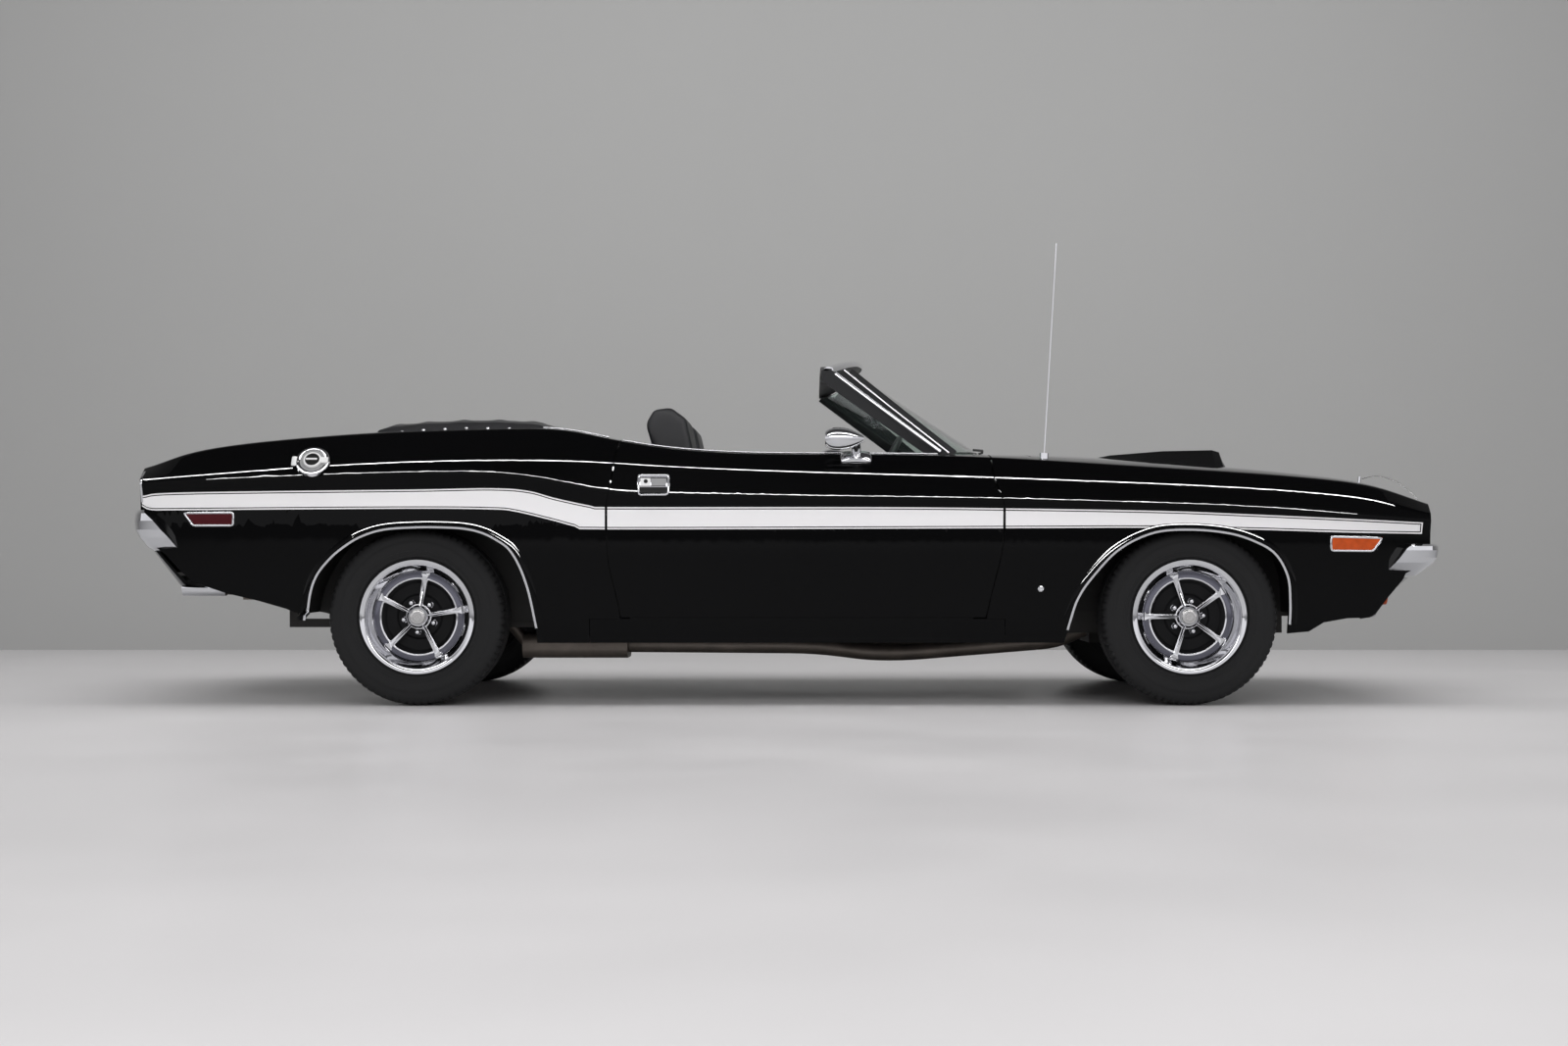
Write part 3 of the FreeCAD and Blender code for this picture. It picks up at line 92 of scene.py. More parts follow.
def makePiece(name, part, material, body, sharp=35, mend=True):
    # sharp is the angle in degrees past which an edge is shaded hard
    mesh = bpy.data.meshes.new(name)
    mesh.from_pydata([tuple(v) for v in part[0]], [], [tuple(f) for f in part[1]])
    if mend:
        work = bmesh.new()
        work.from_mesh(mesh)
        bmesh.ops.remove_doubles(work, verts=work.verts, dist=0.00004)
        bmesh.ops.dissolve_degenerate(work, edges=work.edges, dist=0.00001)
        bmesh.ops.recalc_face_normals(work, faces=work.faces)
        work.to_mesh(mesh)
        work.free()
    piece = bpy.data.objects.new(name, mesh)
    scene.collection.objects.link(piece)
    mesh.materials.append(finish[material])
    mesh.shade_smooth()
    mesh.set_sharp_from_angle(angle=math.radians(sharp))
    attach(piece, body)
    return piece


def grid(rows, closeRow=False, closeColumn=False):
    # vertices and quads of a sheet given row by row
    width = len(rows[0])
    faces = []
    for i in range(len(rows) - (0 if closeColumn else 1)):
        for j in range(width - (0 if closeRow else 1)):
            a, b = i * width, (i + 1) % len(rows) * width
            k = (j + 1) % width
            faces.append((a + j, a + k, b + k, b + j))
    return [v for row in rows for v in row], faces


def merged(parts):
    verts, faces = [], []
    for v, f in parts:
        base = len(verts)
        verts += list(v)
        faces += [tuple(base + i for i in face) for face in f]
    return verts, faces


def moved(part, matrix):
    return [matrix @ Vector(v) for v in part[0]], part[1]


def turned(profile, steps, closed=False):
    # a profile of (outward, radius) in millimetres turned about the axle; outward is along -Y
    rows = []
    for i in range(steps):
        a = math.tau * i / steps
        rows.append([mm(r * math.cos(a), -out, r * math.sin(a)) for out, r in profile])
    return grid(rows, closeRow=closed, closeColumn=True)


def swept(centres, sides, ups, section, closedPath=False):
    # a section (side, up) in millimetres carried along the centres
    rows = [[c + s * (p[0] / 1000) + u * (p[1] / 1000) for p in section]
            for c, s, u in zip(centres, sides, ups)]
    verts, faces = grid(rows, closeRow=True, closeColumn=closedPath)
    if not closedPath:
        n = len(section)
        faces += [tuple(range(n)), tuple(reversed(range(len(verts) - n, len(verts))))]
    return verts, faces


def railed(points, outs, section, closedPath=False):
    # a section (across, outward) in millimetres carried along points that have outward directions
    sides, ups = [], []
    last = len(points) - 1
    for i, out in enumerate(outs):
        after = points[(i + 1) % len(points) if closedPath else min(i + 1, last)]
        ahead = after - points[i - 1 if closedPath else max(i - 1, 0)]
        side = ahead.cross(out).normalized()
        sides.append(side)
        ups.append(side.cross(ahead).normalized())
    return swept(points, sides, ups, section, closedPath)


def roundBar(width, height, corner):
    # a section with rounded corners, centred on its foot
    steps = 3
    points = []
    r = min(width, height) * corner
    for cx, cz, start in ((width / 2 - r, height - r, 0), (-width / 2 + r, height - r, 90),
                          (-width / 2 + r, r, 180), (width / 2 - r, r, 270)):
        for i in range(steps + 1):
            a = math.radians(start + 90 * i / steps)
            points.append((cx + r * math.cos(a), cz + r * math.sin(a)))
    return points


def boxPart(xs, ys, zs):
    # a block between two x, two y and two z in millimetres
    return ([mm(x, y, z) for x in xs for y in ys for z in zs],
            [(0, 1, 3, 2), (4, 6, 7, 5), (0, 4, 5, 1), (2, 3, 7, 6), (0, 2, 6, 4), (1, 5, 7, 3)])


def puffed(width, length, thick, cuts):
    # a soft-edged slab about the origin, from a box whose corners are pulled in
    work = bmesh.new()
    bmesh.ops.create_cube(work, size=1)
    bmesh.ops.subdivide_edges(work, edges=work.edges, cuts=cuts, use_grid_fill=True)
    for v in work.verts:
        p = v.co * 2
        pull = [1 - 0.22 * ((p.y ** 2 + p.z ** 2) / 2) ** 2, 1 - 0.22 * ((p.x ** 2 + p.z ** 2) / 2) ** 2,
                1 - 0.5 * max(abs(p.x), abs(p.y)) ** 6]
        v.co = mm(p.x * pull[0] * width / 2, p.y * pull[1] * length / 2, p.z * pull[2] * thick / 2)
    part = [v.co.copy() for v in work.verts], [tuple(v.index for v in f.verts) for f in work.faces]
    work.free()
    return part


def treeOf(name):
    mesh = nodes[name].data
    return BVHTree.FromPolygons([v.co.copy() for v in mesh.vertices],
                                [list(p.vertices) for p in mesh.polygons])


castFrom = {"side": 1.3, "top": 1.6}


def flank(tree, side, x, z, default):
    # the outer surface of a panel seen from the car's side: place and outward direction
    hit, normal, _, _ = tree.ray_cast(Vector((x, side * castFrom["side"], z)), Vector((0, -side, 0)))
    if hit is None:
        return Vector((x, side * default, z)), Vector((0, side, 0))
    return hit, normal if normal.y * side > 0 else -normal


def roof(tree, x, y, default):
    # the surface seen from above
    hit, normal, _, _ = tree.ray_cast(Vector((x, y, castFrom["top"])), Vector((0, 0, -1)))
    if hit is None:
        return Vector((x, y, default)), upright
    return hit, normal if normal.z > 0 else -normal


sideNames = ((-1, "right"), (1, "left"))
panels = {(side, part): treeOf("%s_%s" % (part, name)) for side, name in sideNames
          for part in ("door", "fender", "quarter")}


def onPanel(side, part, places, default=0.93):
    # places and outward directions at (x, z) in millimetres on a side panel
    hits = [flank(panels[side, part], side, x / 1000, z / 1000, default) for x, z in places]
    return [hit for hit, _ in hits], [out for _, out in hits]


def standOn(place, out, axis="-Y", up="Z"):
    return Matrix.Translation(place) @ out.to_track_quat(axis, up).to_matrix().to_4x4()


def bodyOf(part, sideName):
    return "door_" + sideName if part == "door" else "body"


def joinNodes(tree, *rows):
    for source, output, target, entry in rows:
        tree.links.new(source.outputs[output], target.inputs[entry])


def repeated(name, path, closedPath, part, count, pivot, shift=0):
    # the part repeated evenly along the path by a node tree that is realised to a plain mesh
    tree = bpy.data.node_groups.new(name, "GeometryNodeTree")
    socket = tree.interface.new_socket
    socket("Geometry", in_out="INPUT", socket_type="NodeSocketGeometry")
    countSocket = socket("Count", in_out="INPUT", socket_type="NodeSocketInt")
    sizeSocket = socket("Size", in_out="INPUT", socket_type="NodeSocketFloat")
    socket("Geometry", in_out="OUTPUT", socket_type="NodeSocketGeometry")
    start, end, toCurve, resample, tangent, align, place, source, realise, paint = [
        tree.nodes.new(kind) for kind in (
            "NodeGroupInput", "NodeGroupOutput", "GeometryNodeMeshToCurve", "GeometryNodeResampleCurve",
            "GeometryNodeInputTangent", "FunctionNodeAlignRotationToVector",
            "GeometryNodeInstanceOnPoints", "GeometryNodeObjectInfo", "GeometryNodeRealizeInstances",
            "GeometryNodeSetMaterial")]
    align.axis = "X"
    align.pivot_axis = pivot
    paint.inputs["Material"].default_value = finish["chrome"]
    partMesh = bpy.data.meshes.new(name + "Part")
    partMesh.from_pydata([tuple(v) for v in part[0]], [], part[1])
    partObject = bpy.data.objects.new(name + "Part", partMesh)
    source.inputs["Object"].default_value = partObject
    joinNodes(tree, (start, "Geometry", toCurve, "Mesh"), (toCurve, "Curve", resample, "Curve"),
              (start, "Count", resample, "Count"), (resample, "Curve", place, "Points"),
              (tangent, "Tangent", align, "Vector"), (align, "Rotation", place, "Rotation"),
              (source, "Geometry", place, "Instance"), (start, "Size", place, "Scale"),
              (place, "Instances", realise, "Geometry"), (realise, "Geometry", paint, "Geometry"),
              (paint, "Geometry", end, "Geometry"))
    path = path[shift:] + path[:shift]
    edges = [(i, i + 1) for i in range(len(path) - 1)] + ([(len(path) - 1, 0)] if closedPath else [])
    lineMesh = bpy.data.meshes.new(name + "Line")
    lineMesh.from_pydata([tuple(p) for p in path], edges, [])
    holder = bpy.data.objects.new(name + "Line", lineMesh)
    scene.collection.objects.link(holder)
    modifier = holder.modifiers.new("repeat", "NODES")
    modifier.node_group = tree
    modifier[countSocket.identifier] = count
    modifier[sizeSocket.identifier] = 1.0
    bpy.context.view_layer.update()
    mesh = bpy.data.meshes.new_from_object(holder.evaluated_get(bpy.context.evaluated_depsgraph_get()))
    result = [v.co.copy() for v in mesh.vertices], [tuple(p.vertices) for p in mesh.polygons]
    for thing in (holder, partObject):
        bpy.data.objects.remove(thing)
    for thing in (mesh, lineMesh, partMesh):
        bpy.data.meshes.remove(thing)
    bpy.data.node_groups.remove(tree)
    return result


def newFinish(name, colour, rough, metal=0.0, coat=0.0, coatRough=0.03, coatIor=1.5, gleam=0.5,
              through=0.0, ior=1.5, vary=0.12, varyScale=6.0, bump=0.0, bumpScale=400.0, tone=0.0):
    # a principled finish whose roughness, tone and surface change a little over Object coordinates
    material = bpy.data.materials.new(name)
    material.use_nodes = True
    tree = material.node_tree
    shader = tree.nodes["Principled BSDF"]
    for entry, value in (("Base Color", (*colour, 1)), ("Metallic", metal), ("Roughness", rough),
                         ("IOR", ior), ("Coat Weight", coat), ("Coat Roughness", coatRough),
                         ("Coat IOR", coatIor), ("Specular IOR Level", gleam),
                         ("Transmission Weight", through)):
        shader.inputs[entry].default_value = value
    place = tree.nodes.new("ShaderNodeTexCoord")
    noise = tree.nodes.new("ShaderNodeTexNoise")
    noise.inputs["Scale"].default_value = varyScale
    noise.inputs["Detail"].default_value = 4
    spread = tree.nodes.new("ShaderNodeMapRange")
    spread.inputs["To Min"].default_value = rough * (1 - vary)
    spread.inputs["To Max"].default_value = rough * (1 + vary)
    joinNodes(tree, (place, "Object", noise, "Vector"), (noise, "Fac", spread, "Value"),
              (spread, "Result", shader, "Roughness"))
    if tone:
        mix = tree.nodes.new("ShaderNodeMix")
        mix.data_type = "RGBA"
        mix.inputs["A"].default_value = (*[c * (1 - tone) for c in colour], 1)
        mix.inputs["B"].default_value = (*[min(1, c * (1 + tone)) for c in colour], 1)
        joinNodes(tree, (noise, "Fac", mix, "Factor"), (mix, "Result", shader, "Base Color"))
    if bump:
        grain = tree.nodes.new("ShaderNodeTexNoise")
        grain.inputs["Scale"].default_value = bumpScale
        grain.inputs["Detail"].default_value = 3
        relief = tree.nodes.new("ShaderNodeBump")
        relief.inputs["Strength"].default_value = bump
        relief.inputs["Distance"].default_value = 0.001
        joinNodes(tree, (place, "Object", grain, "Vector"), (grain, "Fac", relief, "Height"),
                  (relief, "Normal", shader, "Normal"))
    return material


finish = {
    "paint": newFinish("blackPaint", (0.0016, 0.0016, 0.0018), 0.3, coat=1.0, coatRough=0.012,
                       coatIor=1.215, gleam=0.0, bump=0.004, bumpScale=200),
    "stripe": newFinish("stripeVinyl", (0.88, 0.87, 0.88), 0.3, coat=0.6, coatRough=0.05),
    "chrome": newFinish("chrome", (0.76, 0.76, 0.78), 0.05, metal=1.0),
    "brightSteel": newFinish("brightSteel", (0.62, 0.61, 0.60), 0.22, metal=1.0),
    "satin": newFinish("satinMetal", (0.90, 0.90, 0.90), 0.42, metal=0.3, gleam=0.4),
    "castMetal": newFinish("castMetal", (0.36, 0.36, 0.365), 0.45, metal=0.35, bump=0.3, bumpScale=350,
                           tone=0.15),
    "dullSteel": newFinish("dullSteel", (0.22, 0.19, 0.165), 0.5, metal=0.85, tone=0.4, varyScale=14),
    "castIron": newFinish("castIron", (0.035, 0.033, 0.031), 0.65, metal=0.3, bump=0.3, tone=0.3),
    "underside": newFinish("undersideBlack", (0.014, 0.013, 0.012), 0.6, bump=0.25, tone=0.3),
    "rubber": newFinish("tyreRubber", (0.015, 0.015, 0.0155), 0.6, bump=0.15, bumpScale=500, tone=0.15,
                        gleam=0.22),
    "seal": newFinish("sealRubber", (0.012, 0.012, 0.012), 0.5),
    "vinyl": newFinish("blackVinyl", (0.016, 0.016, 0.018), 0.42, bump=0.35, bumpScale=900, tone=0.15),
    "trim": newFinish("trimPlastic", (0.015, 0.015, 0.016), 0.45, bump=0.2, bumpScale=700),
    "wheelBlack": newFinish("wheelBlack", (0.0045, 0.0045, 0.005), 0.5, tone=0.2, gleam=0.2),
    "smoked": newFinish("smokedChrome", (0.15, 0.15, 0.18), 0.14, metal=1.0),
    "glass": newFinish("tintedGlass", (0.72, 0.86, 0.80), 0.015, through=1.0, ior=1.45),
    "lens": newFinish("lampGlass", (0.62, 0.64, 0.66), 0.14, metal=0.75, coat=1.0, bump=0.25,
                      bumpScale=140),
    "amber": newFinish("amberLens", (0.52, 0.075, 0.011), 0.14, coat=0.2, gleam=0.2, tone=0.35,
                       varyScale=40),
    "red": newFinish("redLens", (0.060, 0.003, 0.006), 0.14, coat=0.2, gleam=0.2, tone=0.3,
                     varyScale=40),
    "white": newFinish("whiteLens", (0.72, 0.72, 0.70), 0.15, coat=0.8),
    "gauge": newFinish("gaugeFace", (0.01, 0.01, 0.01), 0.3, coat=0.5),
}
nodeFinish = {
    "paint": "door_right door_left fender_right fender_left quarter_right quarter_left sills hood "
             "nose_panel cowl decklid front_valance rear_valance",
    "chrome": "front_bumper rear_bumper door_trim_right door_trim_left fuel_cap fuel_neck hood_pins "
              "antenna",
    "underside": "floor_pan trunk_floor inner_fenders radiator",
    "castIron": "knuckle_right knuckle_left front_subframe rear_axle engine_and_gearbox",
    "dullSteel": "exhaust fuel_tank",
    "brightSteel": "hood_lanyard_right hood_lanyard_left",
    "glass": "windshield_glass",
    "lens": "headlamps",
    "white": "reverse_lamp",
    "amber": "amber_lamps",
    "red": "tail_lamps side_marker_lamps",
    "trim": "dashboard steering_wheel console grille tail_panel windshield_frame",
    "vinyl": "front_seats rear_seat cabin_trim top_boot",
    "rubber": "tyre_front_right tyre_front_left tyre_rear_right tyre_rear_left",
}
for kind, names in nodeFinish.items():
    for name in names.split():
        nodes[name].data.materials.clear()
        nodes[name].data.materials.append(finish[kind])
print("finishes made")

# Side stripe: a white band with a dark line inside each edge, laid on each panel
stripe = {
    "top": [(-2319, 758), (-2170, 770), (-1352, 779), (-1048, 784), (-915, 775), (-818, 749),
            (-692, 722), (-636, 717), (283, 717), (792, 712.5), (1356, 703), (1686, 690.5),
            (2022, 676), (2316, 662)],
    "bottom": [(-2319, 722), (-2285, 707), (-2170, 706), (-1352, 710.5), (-1048, 708), (-959, 700),
               (-825, 668), (-738, 645.5), (-636, 637), (792, 641), (1310, 642.5), (1676, 636),
               (2022, 626), (2316, 621)],
    "panels": {"quarter": (-2317, -640.5), "door": (-631.5, 788.5), "fender": (797.5, 2308)},
    "edgeLine": 5.0, "darkLine": 3.6, "lift": 0.5, "step": 18, "rows": 5, "lineStep": 12,
    "missed": 0.9,
}
stripeTop = smoothLine(stripe["top"], stripe["lineStep"])
stripeBottom = smoothLine(stripe["bottom"], stripe["lineStep"])


def layDecal(side, part, x0, x1, lowUp, highDown, rows):
    # a strip of the stripe: either edge is a distance up from the bottom line or down from the top line
    columns = max(2, round((x1 - x0) / stripe["step"]))
    sheet = []
    for i in range(columns + 1):
        x = x0 + (x1 - x0) * i / columns
        top, bottom = valueAt(stripeTop, x), valueAt(stripeBottom, x)
        low = bottom + lowUp if lowUp is not None else top - stripe["edgeLine"]
        high = top - highDown if highDown is not None else bottom + stripe["edgeLine"]
        hits, outs = onPanel(side, part, [(x, low + (high - low) * j / rows) for j in range(rows + 1)],
                             stripe["missed"])
        column = [hit + out * stripe["lift"] / 1000 for hit, out in zip(hits, outs)]
        sheet.append(column if side < 0 else column[::-1])
    return grid(sheet)


for side, sideName in sideNames:
    for part, (x0, x1) in stripe["panels"].items():
        edge = stripe["edgeLine"]
        inner = edge + stripe["darkLine"]
        boxEnd = inner if part == "fender" else 0
        bands = [layDecal(side, part, x0, x1, None, 0, 1),
                 layDecal(side, part, x0, x1 - boxEnd, inner, inner, stripe["rows"]),
                 layDecal(side, part, x0, x1, 0, None, 1)]
        if boxEnd:
            bands.append(layDecal(side, part, x1 - edge, x1, edge, edge, 2))
        makePiece("stripe_%s_%s" % (part, sideName), merged(bands), "stripe", bodyOf(part, sideName),
                  mend=False)
print("stripe laid")

# Wheels: profiles are (outward, radius) in millimetres from the wheel's middle plane
wheel = {
    "frontX": 1469.5, "rearX": -1324.5, "frontHalf": 758, "rearHalf": 771, "height": 321,
    "turn": {"front_right": 36, "front_left": 30, "rear_right": 9, "rear_left": 12},
    "trimRing": [(95, 205), (95.4, 206.5), (94.6, 207), (92, 207), (88, 199), (64, 197), (44, 172),
                 (-30, 171), (-60, 197), (-88, 199), (-92, 207), (-95, 206), (-94, 195), (-62, 191),
                 (-40, 165), (20, 162), (30, 160), (48, 158), (54, 160), (66, 170), (80, 182),
                 (87.5, 186), (89.5, 187.5), (85.5, 188.6), (85.5, 189.6), (90.5, 190.6), (93.5, 195),
                 (95, 200)],
    "hubRing": [(40, 30), (58, 42), (66, 41.5), (74, 38), (79, 34), (79, 20)],
    "band": [(50, 141.5), (51.6, 142.5), (51.2, 157), (50, 159.5)],
    "cap": [(70, 28.5), (84, 28), (88.5, 26), (90.5, 22.5), (90.8, 17), (89, 16), (89, 13.5),
            (90.8, 12.5), (90.8, 8), (89.4, 7), (89.4, 4), (91, 3), (91, 0.01)],
    "back": [(8, 160), (30, 158), (33, 142), (30, 132), (20, 122), (20, 84), (27, 76), (27, 44),
             (34, 40), (34, 0.01)],
    "nut": [(22, 12), (30, 12), (32, 9.8), (46, 9.4), (51, 7.4), (53.5, 4), (54, 0.01)],
    "nutCircle": 57.15,
}
tyre = {
    "side": [(80, 198), (87, 199), (88, 207), (90, 212), (96, 215), (101, 217), (103.5, 222),
             (103, 226), (105, 230), (109, 238), (109.4, 239.5), (110.6, 239.8), (112.4, 250),
             (113.6, 262), (113.7, 272), (113.2, 273), (112.6, 274.4), (112.3, 284), (110.4, 295),
             (106, 305), (99, 312), (91, 316), (80, 318.6), (66, 320), (57, 320.4), (56, 314),
             (48, 314), (47, 320.8), (25, 321), (24, 314.5), (17, 314.5), (16, 321)],
    "inside": [(-72, 210), (-96, 262), (-70, 306), (70, 306), (96, 262), (72, 210)],
    "steps": 300, "cutEvery": 4, "cutPast": 58, "cutFrom": 303, "crownFrom": 311, "cutDeep": 5.0,
    "shoulderDeep": 2.5,
}
star = {
    "windowOuter": 138, "windowInner": 44, "spokeHalf": 5.5, "outerGap": 2.5, "innerGap": -0.5,
    "cornerRound": 15, "cornerShare": 0.33, "cornerBelow": 150, "radius": 157, "out": 46, "thick": 5,
    "bevel": 2.2,
    "spokeRun": [(26, 74), (44, 71), (70, 62), (100, 54), (128, 50), (146, 48)], "spokeDeep": 22,
    "spokeBar": [(-6, 0), (-5.6, 13), (-3.8, 19), (-1.3, 22), (1.3, 22), (3.8, 19), (5.6, 13), (6, 0)],
    "endRun": [(118, 49, 5), (132, 51.5, 6.5), (143, 53.5, 10), (151, 54.5, 14), (158, 53, 17)],
    "endSection": [(-1, -2), (-0.8, 1.2), (-0.25, 0.6), (0.25, 0.6), (0.8, 1.2), (1, -2)],
}


def windowOutline(index):
    # one rounded opening between two spokes, as points (x, z) in millimetres
    middle = math.tau * (index + 0.5) / 5
    half = math.pi / 5
    outer, inner, width = star["windowOuter"], star["windowInner"], star["spokeHalf"]
    outerHalf = half - math.asin((width + star["outerGap"]) / outer)
    innerHalf = half - math.asin((width + star["innerGap"]) / inner)
    corners = []
    for radius, reach, steps in ((outer, outerHalf, 12), (inner, -innerHalf, 4)):
        for t in range(steps + 1):
            a = middle - reach + 2 * reach * t / steps
            corners.append(Vector((radius * math.cos(a), radius * math.sin(a))))
    # the four turns are rounded by cutting each corner twice
    for _ in range(2):
        rounded = []
        for i, p in enumerate(corners):
            a, b = corners[i - 1] - p, corners[(i + 1) % len(corners)] - p
            if a.length and b.length and a.angle(b) < math.radians(star["cornerBelow"]):
                cut = min(star["cornerRound"], min(a.length, b.length) * star["cornerShare"])
                rounded += [p + a.normalized() * cut, p + b.normalized() * cut]
            else:
                rounded.append(p)
        corners = rounded
    return corners


def flatPlate(outlines, thick, bevel):
    # a plate with holes and rounded edges, in the XZ plane and facing -Y
    line = bpy.data.curves.new("plate", "CURVE")
    line.dimensions = "2D"
    line.fill_mode = "BOTH"
    line.extrude = thick / 2000
    line.bevel_depth = bevel / 1000
    line.bevel_resolution = 2
    for outline in outlines:
        spline = line.splines.new("POLY")
        spline.points.add(len(outline) - 1)
        for point, (x, z) in zip(spline.points, outline):
            point.co = (x / 1000, z / 1000, 0, 1)
        spline.use_cyclic_u = True
    holder = bpy.data.objects.new("plate", line)
    scene.collection.objects.link(holder)
    mesh = bpy.data.meshes.new_from_object(holder)
    stand = Matrix.Rotation(math.radians(90), 4, "X")
    part = [stand @ v.co for v in mesh.vertices], [tuple(p.vertices) for p in mesh.polygons]
    bpy.data.objects.remove(holder)
    bpy.data.curves.remove(line)
    bpy.data.meshes.remove(mesh)
    return part


def ringPoints(radius, steps):
    # points evenly round the axle, half a step from the first
    return [Matrix.Rotation(math.tau * (i + 0.5) / steps, 3, axleWay) @ mm(radius, 0, 0)
            for i in range(steps)]


def wheelPlace(corner):
    left = corner.endswith("left")
    end = corner.split("_")[0]
    half = wheel[end + "Half"]
    place = Matrix.Translation(mm(wheel[end + "X"], half if left else -half, wheel["height"]))
    turn = Matrix.Rotation(math.radians(wheel["turn"][corner]), 4, axleWay)
    return place @ Matrix.Rotation(math.pi if left else 0, 4, "Z") @ turn


def tyrePart():
    # the tyre with grooves round its crown and cross cuts in its shoulders
    profile = tyre["side"] + [(-out, r) for out, r in reversed(tyre["side"])] + tyre["inside"]
    rows = []
    for i in range(tyre["steps"]):
        a = math.tau * i / tyre["steps"]
        row = []
        for out, r in profile:
            if i % tyre["cutEvery"] == 0 and abs(out) > tyre["cutPast"] and r > tyre["cutFrom"]:
                r -= tyre["cutDeep"] if r > tyre["crownFrom"] else tyre["shoulderDeep"]
            row.append(mm(r * math.cos(a), -out, r * math.sin(a)))
        rows.append(row)
    return grid(rows, closeRow=True, closeColumn=True)


def starPart():
    rim = [(star["radius"] * math.cos(math.tau * i / 80), star["radius"] * math.sin(math.tau * i / 80))
           for i in range(80)]
    plate = flatPlate([rim] + [windowOutline(i) for i in range(5)], star["thick"], star["bevel"])
    parts = [moved(plate, Matrix.Translation(mm(0, -star["out"], 0)))]
    for i in range(5):
        a = math.tau * i / 5
        along, across = Vector((math.cos(a), 0, math.sin(a))), Vector((-math.sin(a), 0, math.cos(a)))
        # the raised back of each spoke, high at the hub, and its flared outer end over the dark band
        centres = [along * r / 1000 + mm(0, star["spokeDeep"] - out, 0) for r, out in star["spokeRun"]]
        count = len(centres)
        parts.append(swept(centres, [across] * count, [Vector(axleWay)] * count, star["spokeBar"]))
        parts.append(grid([[along * r / 1000 + across * (part * broad) / 1000 - mm(0, out + rise, 0)
                            for part, rise in star["endSection"]] for r, out, broad in star["endRun"]]))
    return merged(parts + [turned(wheel["hubRing"], 60)])


nutMesh = repeated("lugNuts", ringPoints(wheel["nutCircle"], 60), True, turned(wheel["nut"], 12), 5,
                   "Y", shift=6)
wheelPieces = {
    "tread_": (tyrePart(), "rubber", 30, "tyre_"),
    "trim_ring_": (turned(wheel["trimRing"], 120, closed=True), "chrome", 28, "rim_"),
    "spoke_star_": (starPart(), "chrome", 30, None),
    "spoke_band_": (turned(wheel["band"], 90), "smoked", 35, None),
    "wheel_back_": (turned(wheel["back"], 90), "wheelBlack", 35, None),
    "hub_cap_": (turned(wheel["cap"], 60), "brightSteel", 35, None),
    "lug_nuts_": (nutMesh, "chrome", 35, None),
}
for corner in wheel["turn"]:
    for name, (part, material, sharp, solid) in wheelPieces.items():
        piece = makePiece(name + corner, moved(part, wheelPlace(corner)), material, "wheel_" + corner,
                          sharp)
        if solid:
            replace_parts(piece, solid + corner)
print("wheels made")

# Bright mouldings and painted lips round the wheel arches
arch = {
    "lines": {
        "fender": (1435, [(-408, -45), (-402, -20), (-376, 62), (-329, 137), (-232, 241), (-110, 301),
                          (20, 313), (158, 301), (256, 271), (330, 226), (377, 145), (389, 50),
                          (390, -25)]),
        "quarter": (-1300, [(-413, -10), (-409, 28), (-396, 95), (-372, 152), (-330, 204), (-283, 245),
                            (-215, 287), (-130, 313), (-17, 321), (79, 321), (159, 316), (222, 301),
                            (277, 273), (317, 242), (352, 183), (380, 103), (397, 24), (408, -38)]),
    },
    "bright": [(-2, -4), (-2, 5), (1, 7), (5.5, 7), (8, 4.5), (8.5, -4)],
    "painted": [(8, -4), (9, 6), (13, 7.5), (18, 6), (24, 2.5), (29, -2)],
    "step": 12, "inset": 0.012,
}
for side, sideName in sideNames:
    for part, (middle, line) in arch["lines"].items():
        points, outs = [], []
        edge = smoothLine(line, arch["step"])
        for i, p in enumerate(edge):
            run = edge[min(i + 1, len(edge) - 1)] - edge[max(i - 1, 0)]
            away = Vector((-run[1], run[0])).normalized() * arch["inset"]
            x, z = (middle + p[0]) / 1000, (wheel["height"] + p[1]) / 1000
            hit, out = flank(panels[side, part], side, x + away[0], z + away[1], 0.94)
            points.append(hit - Vector((away[0], 0, away[1])))
            outs.append(Vector((0, side, 0)))
        for kind, material in (("bright", "chrome"), ("painted", "paint")):
            section = [(across * side, high) for across, high in arch[kind]]
            makePiece("arch_%s_lip_%s_%s" % (kind, part, sideName), railed(points, outs, section),
                      material, "body")
print("arch lips made")

# Frames round the side lamps and the door pulls, and what sits inside the pulls
frames = {
    "amber_frame": ("fender", [(1969, 610.7), (2158, 606), (2124, 559.5), (1969, 561)], 8.5, 7.5),
    "red_frame": ("quarter", [(-2159, 696), (-1976, 697), (-1976, 651), (-2124, 651)], 8.5, 7.5),
    "pull_frame": ("door", [(-518.5, 830), (-412, 830), (-412, 762.5), (-518.5, 762.5)], 7, 8),
}
frameCorner, frameStep = 9, 24
pull = {
    "pull_blade_": ((-474, -460, -440, -420), 804, roundBar(28, 10, 0.15), "castMetal"),
    "pull_lock_plate_": ((-512, -494, -476), 804, roundBar(29, 9, 0.12), "satin"),
    "pull_pocket_": ((-514, -480, -440, -416), 777, roundBar(20, 5.5, 0.2), "seal"),
}
buttons = {
    "pull_lock_": ("door", (-493, 806.5), [(6, 7.5), (10.5, 7.2), (11.2, 6), (11.2, 0.1)], "seal"),
    "fender_button_": ("fender", (925, 423.5), [(-2, 10.5), (3, 10.5), (5, 8), (5, 4), (3, 0.1)],
                       "chrome"),
}
tailLine = {"x": -2316, "z": range(735, 846, 10), "section": roundBar(8, 3.5, 0.4)}
